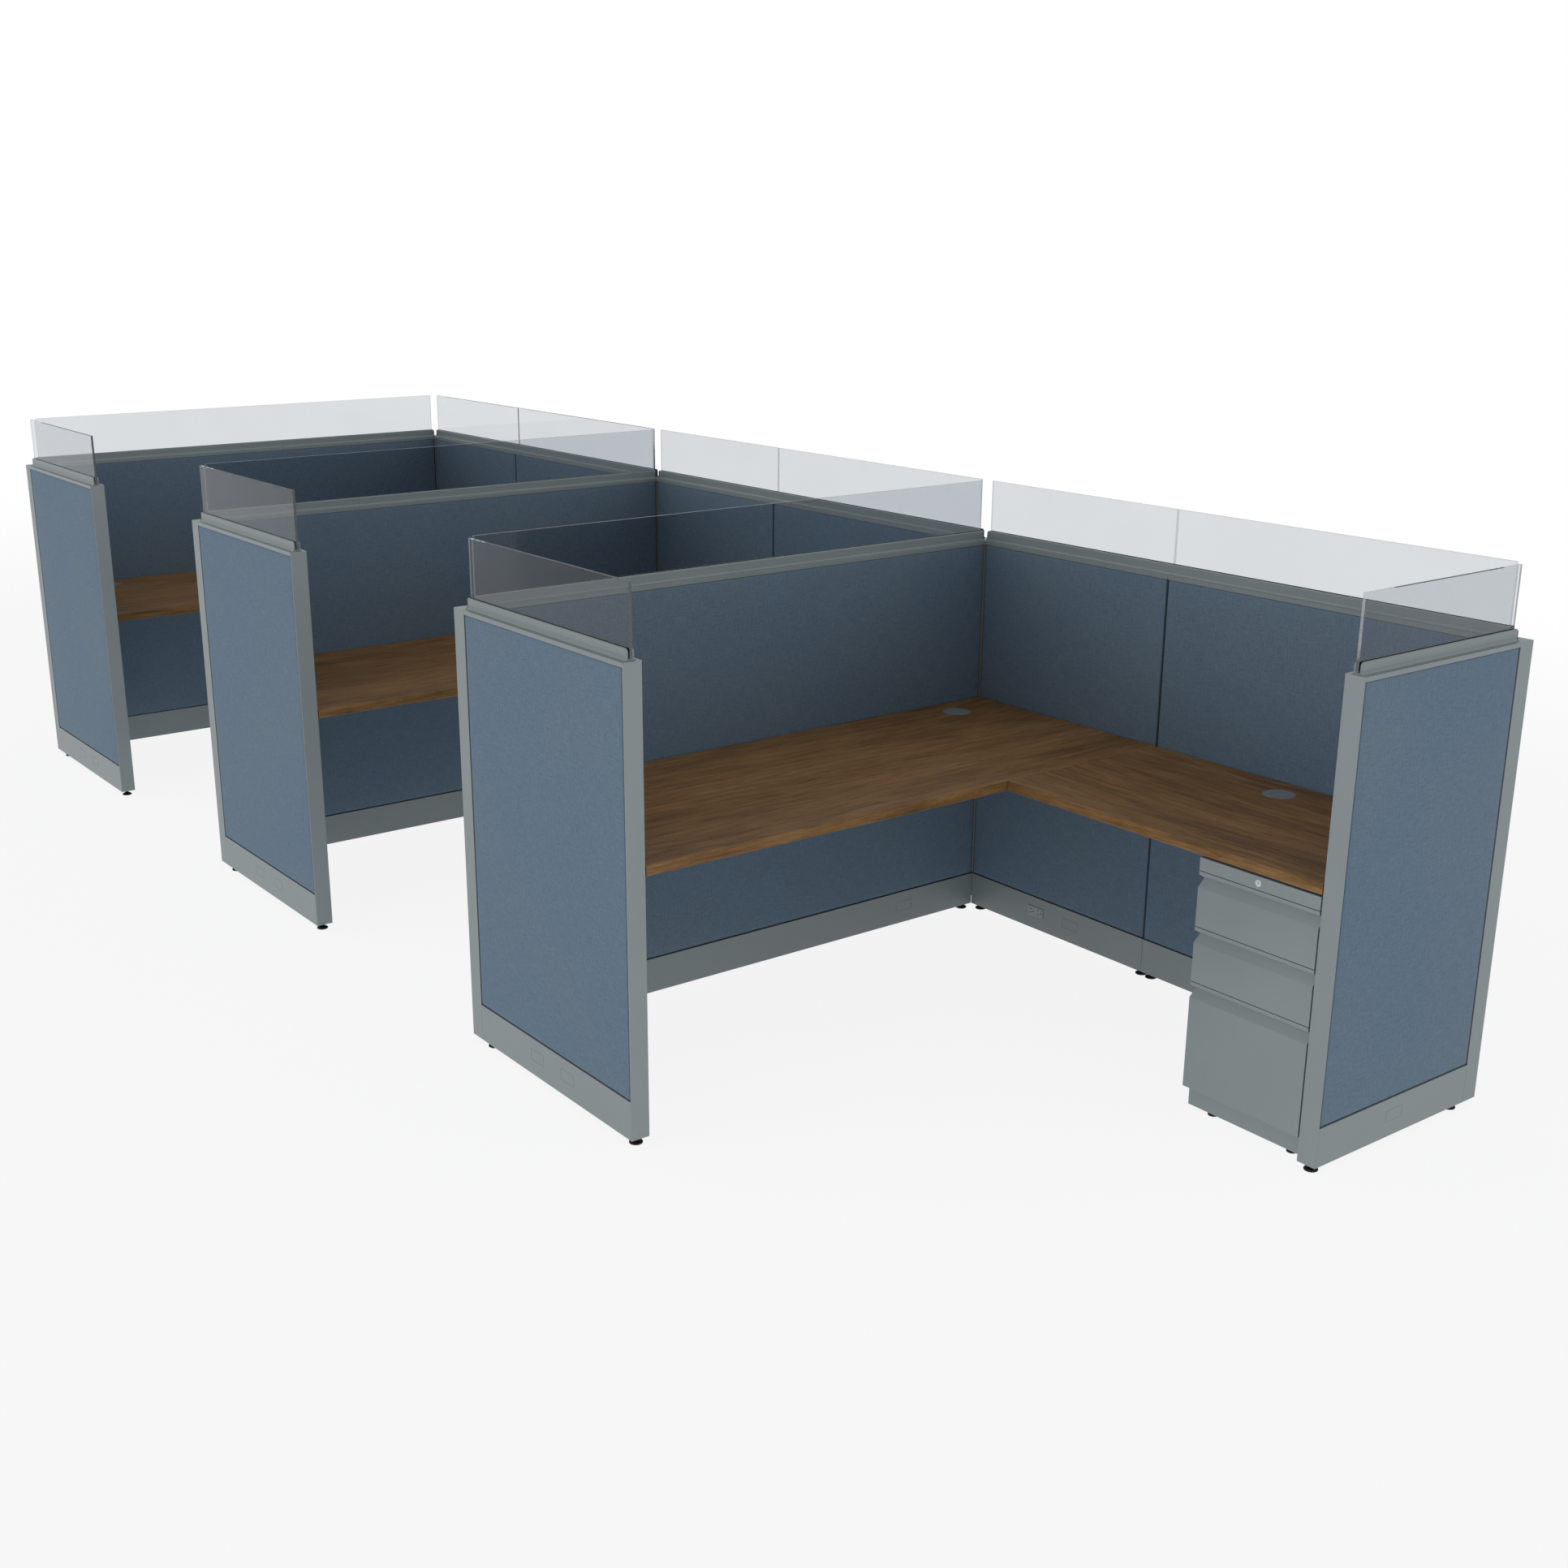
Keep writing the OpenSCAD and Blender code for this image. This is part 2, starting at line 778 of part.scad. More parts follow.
// Cuts the holes for grommets and the pilot holes for screws out of a board
module bored(holes, screws) {
    difference() {
        children();
        for (c = holes) translate([c[0], c[1], worktop_h]) {
            translate([0, 0, -worktop_t - over])
                cylinder(r = grommet_bore_r + turn_fit, h = worktop_t + 2 * over);
            translate([0, 0, -flange_h]) cylinder(r = grommet_r + turn_fit, h = flange_h + over);
        }
        for (c = screws) translate([c[0], c[1], worktop_z - over])
            cylinder(r = screw_r + turn_fit, h = screw_l + 2 * over);
    }
}

module main_worktops() {
    color("#5d4531") for (k = [0:last]) bored(main_grommets(k), main_screws(k))
        translate([cross_x(k) + main_x, main_y + main_len, worktop_z]) rotate([90, 0, 0])
            linear_extrude(height = main_len) board_section(main_depth);
}

module return_worktops() {
    color("#5d4531") for (k = [0:last]) bored([return_grommet(k)], return_screws(k))
        translate([cross_x(k) + return_x, worktop_front_y, worktop_z])
            sweep_x(0, return_len) board_section(return_depth);
}

// A cantilever bracket, out along +X from the panel face at zero; its top flange lies to +Y
module cantilever() {
    t = bracket_t;
    difference() {
        union() {
            translate([0, t, worktop_z]) rotate([90, 0, 0]) linear_extrude(height = t)
                polygon([[0, 0], [bracket_l, 0], [bracket_l, -bracket_tip_h],
                         [bracket_root_l, -bracket_root_h], [0, -bracket_root_h]]);
            block([bracket_top_from, 0, worktop_z - t], [bracket_l, bracket_top_w, worktop_z]);
            for (i = [0:slot_count - 1])
                block([-tile_t - hook_l, 0,
                       worktop_z - bracket_tip_h - i * slot_pitch - slot_h + hook_l],
                      [0, t, worktop_z - bracket_tip_h - i * slot_pitch - seam]);
        }
        for (x = bracket_screws) translate([x, bracket_top_w / 2, worktop_z - t - over])
            cylinder(r = screw_r + turn_fit, h = t + 2 * over);
    }
}

// Two brackets on the divider carry a main worktop, and one on the spine carries the seam
module worktop_brackets() {
    color("#3c4042") for (k = [0:last]) translate([cross_x(k) + half_t, 0, 0]) {
        translate([0, front_y + half_t + bracket_gap, 0]) cantilever();
        translate([0, spine_y - half_t - bracket_gap, 0]) mirror([0, 1, 0]) cantilever();
        translate([spine_short + bracket_gap, spine_y - half_t, 0]) rotate([0, 0, -90])
            cantilever();
    }
}

// A screw driven up into a worktop, its head under what it holds
module worktop_screw(c) {
    translate([c[0], c[1], worktop_z - c[2] - seat_fit - screw_head_h]) {
        cylinder(r = screw_head_r, h = screw_head_h);
        cylinder(r = screw_r, h = screw_head_h + c[2] + screw_l);
    }
}

// Plates across the seam of the two worktops, all worktop screws, and the pedestal's pads
module worktop_fixings() {
    color("#9aa0a3") for (k = [0:last]) {
        x = cross_x(k) + seam_x;
        difference() {
            block([x - join_l / 2, join_y - join_w / 2, worktop_z - join_t],
                  [x + join_l / 2, join_y + join_w / 2, worktop_z]);
            for (sx = [-1, 1], sy = [-1, 1])
                translate([x + sx * join_screw_x, join_y + sy * join_screw_y,
                           worktop_z - join_t - over])
                    cylinder(r = screw_r + turn_fit, h = join_t + 2 * over);
        }
        for (c = concat(main_screws(k), return_screws(k))) worktop_screw(c);
        for (px = [pad_from_side, ped_w - pad_from_side],
             py = [pad_from_front, ped_depth - pad_from_front])
            translate([ped_x(k) + px, ped_y + py, ped_top]) cylinder(r = pad_r, h = ped_air);
    }
}

// A grommet's liner: a flange let into the worktop, a recess for the cap and a tube in the hole
module grommet_liners() {
    color("#7e8589") for (c = all_grommets) translate([c[0], c[1], worktop_h]) rotate_extrude()
        polygon([[grommet_bore_r - grommet_wall, -liner_depth],
                 [grommet_bore_r, -liner_depth], [grommet_bore_r, -flange_h],
                 [grommet_r, -flange_h], [grommet_r, -flange_edge], [grommet_r - flange_edge, 0],
                 [cap_r + run_fit, 0], [cap_r + run_fit, -cap_t],
                 [grommet_bore_r - grommet_wall, -cap_t]]);
}

// A grommet's cap, a lid with a skirt that snaps into the liner
module grommet_caps() {
    skirt_r = grommet_bore_r - grommet_wall - run_fit;
    color("#6f777c") for (c = all_grommets) translate([c[0], c[1], worktop_h])
        rotate_extrude() {
            rect(0, -cap_t, cap_r, 0);
            rect(skirt_r - grommet_wall, -cap_t - cap_skirt_h, skirt_r, 0);
        }
}

// Places children in pedestal k's own frame: X across, Y back from the drawer faces, Z up
module in_pedestal(k) {
    translate([ped_x(k), ped_y, 0]) children();
}

// Shouldered pins on the back wall that carry the lock bar by its slots
module bar_guides() {
    front_y = bar_y - run_fit;
    back_y = bar_y + bar_t + run_fit;
    for (z = guide_z) translate([lock_x + cam_throw / 2, 0, z]) rotate([-90, 0, 0]) {
        translate([0, 0, front_y - guide_head_t])
            cylinder(r = guide_r, h = case_back - front_y + guide_head_t);
        translate([0, 0, front_y - guide_head_t])
            cylinder(r = guide_head_r, h = guide_head_t);
        translate([0, 0, back_y]) cylinder(r = guide_head_r, h = case_back - back_y);
    }
}

// The tab under the case's top that carries the lock's tail rod
module rod_bearing() {
    w = bearing_w / 2;
    difference() {
        block([lock_x - w, bearing_y, lock_z - w], [lock_x + w, bearing_y + bearing_t, ped_top]);
        translate([lock_x, bearing_y - over, lock_z]) rotate([-90, 0, 0])
            cylinder(r = rod_r + turn_fit, h = bearing_t + 2 * over);
    }
}

// The pedestal's steel case, open in front, with a recessed toe space below the drawers
module pedestal_case(k) {
    color("#7f8787") in_pedestal(k) {
        difference() {
            block([0, case_y, ped_base], [ped_w, ped_depth, ped_top]);
            block([sheet, case_y - over, shelf_z + sheet],
                  [ped_w - sheet, case_back, ped_top - sheet]);
            block([sheet, case_y + sheet, ped_base + plate],
                  [ped_w - sheet, case_back, shelf_z]);
            for (x = [ped_foot_x, ped_w - ped_foot_x], y = [ped_foot_y, ped_depth - ped_foot_y])
                translate([x, y, 0]) cylinder(r = stem_r + turn_fit, h = ped_stem_h);
        }
        for (x = [sheet, ped_w - 2 * sheet])
            block([x, case_y, shelf_z + sheet], [x + sheet, case_y + hem_l, ped_top - sheet]);
        bar_guides();
        rod_bearing();
    }
}

// The box rail over the drawers, with the barrel that the lock plug turns in
module lock_rail(k) {
    color("#7f8787") in_pedestal(k) difference() {
        union() {
            difference() {
                block([0, 0, rail_z], [ped_w, front_t, ped_top]);
                block([sheet, sheet, rail_z + sheet],
                      [ped_w - sheet, front_t + over, ped_top - sheet]);
            }
            translate([lock_x, 0, lock_z]) rotate([-90, 0, 0])
                cylinder(r = barrel_r, h = barrel_l);
        }
        translate([lock_x, -over, lock_z]) rotate([-90, 0, 0])
            cylinder(r = plug_r + turn_fit, h = barrel_l + 2 * over);
    }
}

module lock_rails() {
    for (k = [0:last]) lock_rail(k);
}

module pedestal_feet() {
    color("#101112") for (k = [0:last]) in_pedestal(k)
        for (x = [ped_foot_x, ped_w - ped_foot_x], y = [ped_foot_y, ped_depth - ped_foot_y])
            translate([x, y, 0]) foot(ped_foot_r, ped_stem_h);
}

// One member of a telescopic slide on drawer d: its web at x, reaching towards the drawer
module slide_member(d, x, half_h, reach, y, len) {
    translate([x, y + len, slide_z(d)]) rotate([90, 0, 0]) linear_extrude(height = len)
        channel(half_h, reach, sheet);
}

// Both sides of the pedestal take the same member, mirrored
module both_sides() {
    children();
    translate([ped_w, 0, 0]) mirror([1, 0, 0]) children();
}

// The fixed channels on the case's walls
module slide_channels() {
    color("#b4b8ba") for (k = [0:last], d = [top, middle, file]) in_pedestal(k) both_sides()
        slide_member(d, sheet, slide_h / 2, lip_reach + sheet, slide_y, slide_l);
}

// The middle channels of drawer d, which travel half as far as the drawer
module drawer_slides(d, k) {
    half_h = slide_h / 2 - sheet - run_fit;
    color("#c0c4c6") in_pedestal(k) both_sides()
        slide_member(d, 2 * sheet + run_fit, half_h, mid_reach + sheet, slide_y, slide_l);
}

// The channel riveted to the drawer, opening towards the case
module own_channel(d) {
    half_h = slide_h / 2 - 2 * (sheet + run_fit);
    translate([box_x - seat_fit, slide_y + slide_l, slide_z(d)])
        mirror([1, 0, 0]) rotate([90, 0, 0])
            linear_extrude(height = slide_l) channel(half_h, own_reach + sheet, sheet);
}

// A stud riveted through a plate that lies from zero up; its shank hangs below the plate
module stud() {
    translate([0, 0, -stud_l]) cylinder(r = stud_r, h = stud_l - seat_fit);
    translate([0, 0, -over]) cylinder(r = stud_neck_r, h = over + catch_t + stud_head_h);
    translate([0, 0, catch_t + seat_fit]) cylinder(r = stud_r, h = stud_head_h);
}

// The hole for a stud's neck
module stud_hole() {
    translate([0, 0, -over]) cylinder(r = stud_neck_r + turn_fit, h = catch_t + 2 * over);
}

// The catch behind a drawer: an angle bracket on its back wall, and the stud under its tab
module drawer_catch(d) {
    z = catch_z(d) - catch_t;
    difference() {
        sweep_x(lock_x - catch_w / 2, catch_w) {
            rect(box_back + seat_fit, z, box_back + catch_l, z + catch_t);
            rect(box_back + seat_fit, z, box_back + catch_t, z + catch_flange_h);
        }
        translate([lock_x, hung_y, z]) stud_hole();
    }
    translate([lock_x, hung_y, z]) stud();
}

// Rods along a file drawer that hanging folders ride on, on end brackets
module folder_rods(d) {
    z = box_z(d) + box_h(d) - rail_rod_r - over;
    for (s = [-1, 1]) {
        x = ped_w / 2 + s * file_span / 2;
        translate([x, box_y + sheet, z]) rotate([-90, 0, 0])
            cylinder(r = rail_rod_r, h = box_l - 2 * sheet);
    }
}

// The steel box of drawer d, with hemmed sides, its slide channels and its lock catch
module drawer_box(d, k) {
    z = box_z(d);
    h = box_h(d);
    color("#8d9494") in_pedestal(k) {
        difference() {
            block([box_x, box_y, z], [box_x + box_w, box_back, z + h]);
            block([box_x + sheet, box_y + sheet, z + sheet],
                  [box_x + box_w - sheet, box_back - sheet, z + h + over]);
        }
        both_sides() {
            block([box_x, box_y, z + h - sheet], [box_x + hem_w, box_back, z + h]);
            own_channel(d);
        }
        drawer_catch(d);
        if (d == file) folder_rods(d);
    }
}

// Outline of a drawer front in Y and Z: a lip above a full-width V-shaped finger pull
module front_outline(h) {
    polygon([[0, 0], [front_t, 0], [front_t, h], [0, h], [0, h - pull_lip],
             [pull_d, h - pull_lip - pull_up], [0, h - pull_lip - pull_up - pull_down]]);
}

// The same outline one sheet further in, open to the back
module front_hollow(h) {
    up = sheet * norm([pull_d, pull_up]) / pull_d;
    down = sheet * norm([pull_d, pull_down]) / pull_d;
    z_up = h - pull_lip + up - sheet * pull_up / pull_d;
    z_down = h - pull_lip - pull_up - pull_down - down + sheet * pull_down / pull_d;
    polygon([[sheet, sheet], [front_t - sheet, sheet], [front_t - sheet, h - sheet],
             [sheet, h - sheet], [sheet, z_up], [pull_d + sheet, h - pull_lip - pull_up],
             [sheet, z_down]]);
}

// A folded drawer front; the window in its back is closed by the drawer box
module drawer_front(d, k) {
    h = front_h_list[d];
    color("#858d8d") in_pedestal(k) translate([0, 0, front_z_list[d]]) difference() {
        sweep_x(0, ped_w) front_outline(h);
        sweep_x(sheet, ped_w - 2 * sheet) front_hollow(h);
        block([flange, front_t - 2 * sheet, flange],
              [ped_w - flange, front_t + over, h - drop_list[d] - flange]);
    }
}

// The lock plug with its key slot, tail rod and cam pin
module lock_plug(k) {
    cam_y = bar_y - run_fit - cam_t;
    pin_l = cam_t + run_fit + bar_t + over;
    color("#c9ccce") in_pedestal(k) translate([lock_x, 0, lock_z]) rotate([-90, 0, 0])
        difference() {
            union() {
                translate([0, 0, -plug_head_t]) {
                    cylinder(r = plug_head_r, h = plug_head_t - turn_fit);
                    cylinder(r = plug_r, h = plug_head_t + plug_l);
                }
                cylinder(r = rod_r, h = cam_y + cam_t);
                translate([0, 0, cam_y]) {
                    cylinder(r = cam_r + cam_pin_r, h = cam_t);
                    block([0, -cam_r, 0], [cam_throw, cam_r, cam_t]);
                    translate([cam_throw, 0, 0]) cylinder(r = cam_r, h = cam_t);
                    translate([cam_throw, 0, 0]) cylinder(r = cam_pin_r, h = pin_l);
                }
            }
            block([-key_w / 2, -key_h / 2, -plug_head_t - over],
                  [key_w / 2, key_h / 2, key_d]);
        }
}

// A finger on the lock bar for drawer d; its stud shifts in front of the catch's stud
module bar_finger(d) {
    z = catch_z(d) - catch_t - stud_l - stud_pass;
    difference() {
        sweep_x(bar_x - catch_w / 2, catch_w) {
            rect(stood_y - stud_from_end, z - catch_t, bar_y - seat_fit, z);
            rect(bar_y - catch_t, z - catch_flange_h, bar_y - seat_fit, z);
        }
        translate([bar_x, stood_y, z - catch_t]) stud_hole();
    }
    translate([bar_x, stood_y, z]) mirror([0, 0, 1]) stud();
}

// A slot through the lock bar between two heights, open half_w to each side
module bar_slot(half_w, z0, z1) {
    block([bar_x - half_w, bar_y - over, z0], [bar_x + half_w, bar_y + bar_t + over, z1]);
}

// The flat bar behind the drawers, with a tall slot for the cam pin and wide ones for its pins
module lock_bar(k) {
    cam_slot = cam_pin_r + cam_slack;
    guide_slot = guide_r + run_fit;
    bar_top = lock_z + cam_throw + cam_slot + bar_rim;
    color("#b9bdbf") in_pedestal(k) {
        difference() {
            block([bar_x - bar_w / 2, bar_y, bar_z], [bar_x + bar_w / 2, bar_y + bar_t, bar_top]);
            bar_slot(cam_slot, lock_z - cam_slot, bar_top - bar_rim);
            for (z = guide_z) bar_slot(cam_throw / 2 + guide_slot, z - guide_slot, z + guide_slot);
        }
        for (d = [top, middle, file]) bar_finger(d);
    }
}

panel_frames();
spine_tiles();
divider_tiles();
wing_tiles();
raceway_covers();
top_caps();
glass_holders();
glass_panes();
glazing_gaskets();
corner_posts();
post_covers();
end_caps();
levelling_feet();
power_harness();
receptacles();
main_worktops();
return_worktops();
worktop_brackets();
worktop_fixings();
grommet_liners();
grommet_caps();
pedestal_case(0);  // pedestal_case_1
pedestal_case(1);  // pedestal_case_2
pedestal_case(2);  // pedestal_case_3
lock_rails();
slide_channels();
pedestal_feet();
lock_plug(0);  // lock_plug_1
lock_plug(1);  // lock_plug_2
lock_plug(2);  // lock_plug_3
lock_bar(0);  // lock_bar_1
lock_bar(1);  // lock_bar_2
lock_bar(2);  // lock_bar_3
drawer_front(top, 0);  // top_drawer_front_1
drawer_box(top, 0);  // top_drawer_box_1
drawer_slides(top, 0);  // top_drawer_slides_1
drawer_front(middle, 0);  // middle_drawer_front_1
drawer_box(middle, 0);  // middle_drawer_box_1
drawer_slides(middle, 0);  // middle_drawer_slides_1
drawer_front(file, 0);  // file_drawer_front_1
drawer_box(file, 0);  // file_drawer_box_1
drawer_slides(file, 0);  // file_drawer_slides_1
drawer_front(top, 1);  // top_drawer_front_2
drawer_box(top, 1);  // top_drawer_box_2
drawer_slides(top, 1);  // top_drawer_slides_2
drawer_front(middle, 1);  // middle_drawer_front_2
drawer_box(middle, 1);  // middle_drawer_box_2
drawer_slides(middle, 1);  // middle_drawer_slides_2
drawer_front(file, 1);  // file_drawer_front_2
drawer_box(file, 1);  // file_drawer_box_2
drawer_slides(file, 1);  // file_drawer_slides_2
drawer_front(top, 2);  // top_drawer_front_3
drawer_box(top, 2);  // top_drawer_box_3
drawer_slides(top, 2);  // top_drawer_slides_3
drawer_front(middle, 2);  // middle_drawer_front_3
drawer_box(middle, 2);  // middle_drawer_box_3
drawer_slides(middle, 2);  // middle_drawer_slides_3
drawer_front(file, 2);  // file_drawer_front_3
drawer_box(file, 2);  // file_drawer_box_3
drawer_slides(file, 2);  // file_drawer_slides_3
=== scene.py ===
import json
import math

import bmesh
import bpy
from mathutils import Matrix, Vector


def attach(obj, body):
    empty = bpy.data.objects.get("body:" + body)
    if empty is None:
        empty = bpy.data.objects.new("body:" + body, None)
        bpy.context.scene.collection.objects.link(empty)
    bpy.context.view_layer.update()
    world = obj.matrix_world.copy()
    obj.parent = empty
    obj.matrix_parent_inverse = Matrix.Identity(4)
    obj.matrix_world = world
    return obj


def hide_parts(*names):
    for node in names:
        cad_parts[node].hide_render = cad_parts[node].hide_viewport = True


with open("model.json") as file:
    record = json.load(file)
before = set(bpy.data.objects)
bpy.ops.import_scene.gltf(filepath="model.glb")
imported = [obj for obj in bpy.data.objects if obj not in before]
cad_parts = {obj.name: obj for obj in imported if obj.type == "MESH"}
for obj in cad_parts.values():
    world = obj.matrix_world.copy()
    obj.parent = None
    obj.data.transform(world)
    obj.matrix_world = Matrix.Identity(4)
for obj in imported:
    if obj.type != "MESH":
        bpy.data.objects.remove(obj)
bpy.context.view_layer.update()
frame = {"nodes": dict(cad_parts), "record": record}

cadNodes = frame["nodes"]
mm = 0.001
bodyOf = {name: body for body, names in frame["record"]["behaviour"]["bodies"].items()
          for name in names}


# shader helpers: a socket is linked, anything else is set as a value
def plug(tree, target, value):
    if isinstance(value, bpy.types.NodeSocket):
        tree.links.new(value, target)
    else:
        target.default_value = value


def addNode(tree, kind, settings=None, **values):
    made = tree.nodes.new("ShaderNode" + kind)
    for name, value in (settings or {}).items():
        setattr(made, name, value)
    for name, value in values.items():
        plug(tree, made.inputs[name], value)
    return made


def calc(tree, operation, first, second=0.0, third=0.0):
    made = addNode(tree, "Math", {"operation": operation})
    for target, value in zip(made.inputs, (first, second, third)):
        plug(tree, target, value)
    return made.outputs[0]


def spread(tree, value, low, high, toLow=0.0, toHigh=1.0):
    made = addNode(tree, "MapRange", {"interpolation_type": "SMOOTHSTEP"})
    for target, number in zip(made.inputs, (value, low, high, toLow, toHigh)):
        plug(tree, target, number)
    return made.outputs[0]


# a noise mostly stays between 0.3 and 0.7: this stretches that part over low to high
def swing(tree, noise, low, high):
    return spread(tree, noise, 0.3, 0.7, low, high)


def blendNumber(tree, share, first, second):
    made = addNode(tree, "Mix", {"data_type": "FLOAT"})
    plug(tree, made.inputs[0], share)
    plug(tree, made.inputs[2], first)
    plug(tree, made.inputs[3], second)
    return made.outputs[0]


def blendColour(tree, share, first, second, way="MIX"):
    made = addNode(tree, "Mix", {"data_type": "RGBA", "blend_type": way})
    plug(tree, made.inputs[0], share)
    plug(tree, made.inputs[6], first)
    plug(tree, made.inputs[7], second)
    return made.outputs[2]


# a colour made lighter or darker by a number around 1
def shaded(tree, colour, level):
    grey = addNode(tree, "CombineColor", Red=level, Green=level, Blue=level).outputs[0]
    return blendColour(tree, 1.0, colour, grey, "MULTIPLY")


def mixShaders(tree, share, first, second):
    made = addNode(tree, "MixShader")
    for target, value in zip(made.inputs, (share, first, second)):
        plug(tree, target, value)
    return made.outputs[0]


def anyOf(tree, first, *others):
    for other in others:
        first = calc(tree, "MAXIMUM", first, other)
    return first


def noiseOf(tree, place, size, detail=3.0, rough=0.5):
    made = addNode(tree, "TexNoise", Vector=place, Scale=1 / size, Detail=detail, Roughness=rough)
    return made.outputs[0]


# a different grey for each small cell
def cellsOf(tree, place, size):
    cells = addNode(tree, "TexVoronoi", Vector=place, Scale=1 / size)
    return addNode(tree, "SeparateColor", Color=cells.outputs["Color"]).outputs[0]


def stretch(tree, place, scale):
    made = addNode(tree, "VectorMath", {"operation": "MULTIPLY"})
    plug(tree, made.inputs[0], place)
    plug(tree, made.inputs[1], scale)
    return made.outputs[0]


# colours are written as 0 to 255, and the shader wants them linear
def rgb(red, green, blue):
    def linear(value):
        share = value / 255
        return share / 12.92 if share < 0.04045 else ((share + 0.055) / 1.055) ** 2.4
    return (linear(red), linear(green), linear(blue), 1.0)


def dimmed(colour, share):
    return tuple(share * part for part in colour[:3]) + (1.0,)


finish = {}  # each material by its name


def newMaterial(name):
    made = bpy.data.materials.new(name)
    finish[name] = made
    made.use_nodes = True
    tree = made.node_tree
    tree.nodes.clear()
    shader = addNode(tree, "BsdfPrincipled")
    addNode(tree, "OutputMaterial", Surface=shader.outputs[0])
    place = addNode(tree, "TexCoord").outputs["Object"]
    return tree, shader, place


def setSurface(tree, socket):
    plug(tree, tree.nodes["Material Output"].inputs["Surface"], socket)


def setBump(tree, shader, height, depth, strength):
    made = addNode(tree, "Bump", Strength=strength, Distance=depth, Height=height)
    plug(tree, shader.inputs["Normal"], made.outputs[0])


print("stage: camera, floor and light")

cameraView = {
    "place": (5.3323, -3.2813, 2.2390),
    "turn": (1.2626, 0.0, 0.9346),   # radians
    "lens": 43.117,            # millimetres, as is the sensor
    "sensor": 36,
    "shift": (0.02733, 0.02054),
    "reach": 200,              # metres that it sees
}


def makeCamera():
    lens = bpy.data.cameras.new("photoCamera")
    lens.lens = cameraView["lens"]
    lens.sensor_width = cameraView["sensor"]
    lens.sensor_fit = "HORIZONTAL"
    lens.shift_x, lens.shift_y = cameraView["shift"]
    lens.clip_end = cameraView["reach"]
    camera = bpy.data.objects.new("photoCamera", lens)
    camera.location = cameraView["place"]
    camera.rotation_euler = cameraView["turn"]
    bpy.context.scene.collection.objects.link(camera)
    bpy.context.scene.camera = camera


makeCamera()
bpy.context.scene.view_settings.view_transform = "Standard"

floorLook = {
    "size": 120.0,
    "colour": rgb(243, 243, 244),
    "rough": 0.9,
    "specular": 0.1,
    "oval": (0.62, 1.0, 1.0),  # the fade reaches further along the row than across it
    "fadeFrom": 3.4,           # metres from the middle, where the floor starts to fade to white
    "fadeTo": 7.5,
    "lift": 0.88,              # how much of its own white the camera sees close by
    "glow": 0.48,              # how much light it gives off from below
}


def makeFloor():
    half = floorLook["size"] / 2
    mesh = bpy.data.meshes.new("studioFloor")
    mesh.from_pydata([(-half, -half, 0), (half, -half, 0), (half, half, 0), (-half, half, 0)],
                     [], [(0, 1, 2, 3)])
    made = bpy.data.objects.new("studioFloor", mesh)
    bpy.context.scene.collection.objects.link(made)
    tree, shader, place = newMaterial("studioFloor")
    plug(tree, shader.inputs["Base Color"], floorLook["colour"])
    plug(tree, shader.inputs["Roughness"], floorLook["rough"])
    plug(tree, shader.inputs["Specular IOR Level"], floorLook["specular"])
    away = addNode(tree, "VectorMath", {"operation": "LENGTH"})
    plug(tree, away.inputs[0], stretch(tree, place, floorLook["oval"]))
    fade = spread(tree, away.outputs["Value"], floorLook["fadeFrom"], floorLook["fadeTo"],
                  floorLook["lift"], 1.0)
    rays = addNode(tree, "LightPath").outputs
    seen = anyOf(tree, rays["Is Camera Ray"], rays["Is Transmission Ray"], rays["Is Glossy Ray"])
    white = addNode(tree, "Emission", Color=(1, 1, 1, 1), Strength=1.0)
    share = blendNumber(tree, seen, floorLook["glow"], fade)
    setSurface(tree, mixShaders(tree, share, shader.outputs[0], white.outputs[0]))
    mesh.materials.append(finish["studioFloor"])


makeFloor()

studioLight = {
    "above": 0.56,
    "aboveFocus": 2.0,         # the higher, the narrower is the light
    # degrees from +X towards +Y, and how strong the light from there is
    "sides": {0: 0.7, 45: 1.56, 90: 0.48, 135: 0.26, 180: 0.26, 225: 1.66, 270: 1.2},
    "sideFocus": 8.0,
    "height": 4,               # of the side lights, in degrees above the horizon
}


# soft light from above and from all sides, and white where the camera or a mirror looks
def makeWorld():
    world = bpy.data.worlds.new("studioWorld")
    bpy.context.scene.world = world
    world.use_nodes = True
    tree = world.node_tree
    tree.nodes.clear()
    way = addNode(tree, "TexCoord").outputs["Generated"]

    def softLight(aim, focus):
        facing = addNode(tree, "VectorMath", {"operation": "DOT_PRODUCT"})
        plug(tree, facing.inputs[0], way)
        plug(tree, facing.inputs[1], aim)
        return calc(tree, "POWER", calc(tree, "MAXIMUM", facing.outputs["Value"], 0.0), focus)

    level = calc(tree, "MULTIPLY", softLight((0, 0, 1), studioLight["aboveFocus"]),
                 studioLight["above"])
    rise = math.radians(studioLight["height"])
    for degrees, strength in studioLight["sides"].items():
        turn = math.radians(degrees)
        aim = (math.cos(turn) * math.cos(rise), math.sin(turn) * math.cos(rise), math.sin(rise))
        level = calc(tree, "MULTIPLY_ADD", softLight(aim, studioLight["sideFocus"]), strength,
                     level)
    rays = addNode(tree, "LightPath").outputs
    seen = anyOf(tree, rays["Is Camera Ray"], rays["Is Glossy Ray"], rays["Is Transmission Ray"])
    lit = addNode(tree, "Background", Color=(1, 1, 1, 1), Strength=level)
    white = addNode(tree, "Background", Color=(1, 1, 1, 1), Strength=1.0)
    addNode(tree, "OutputWorld",
            Surface=mixShaders(tree, seen, lit.outputs[0], white.outputs[0]))


makeWorld()


print("stage: materials")

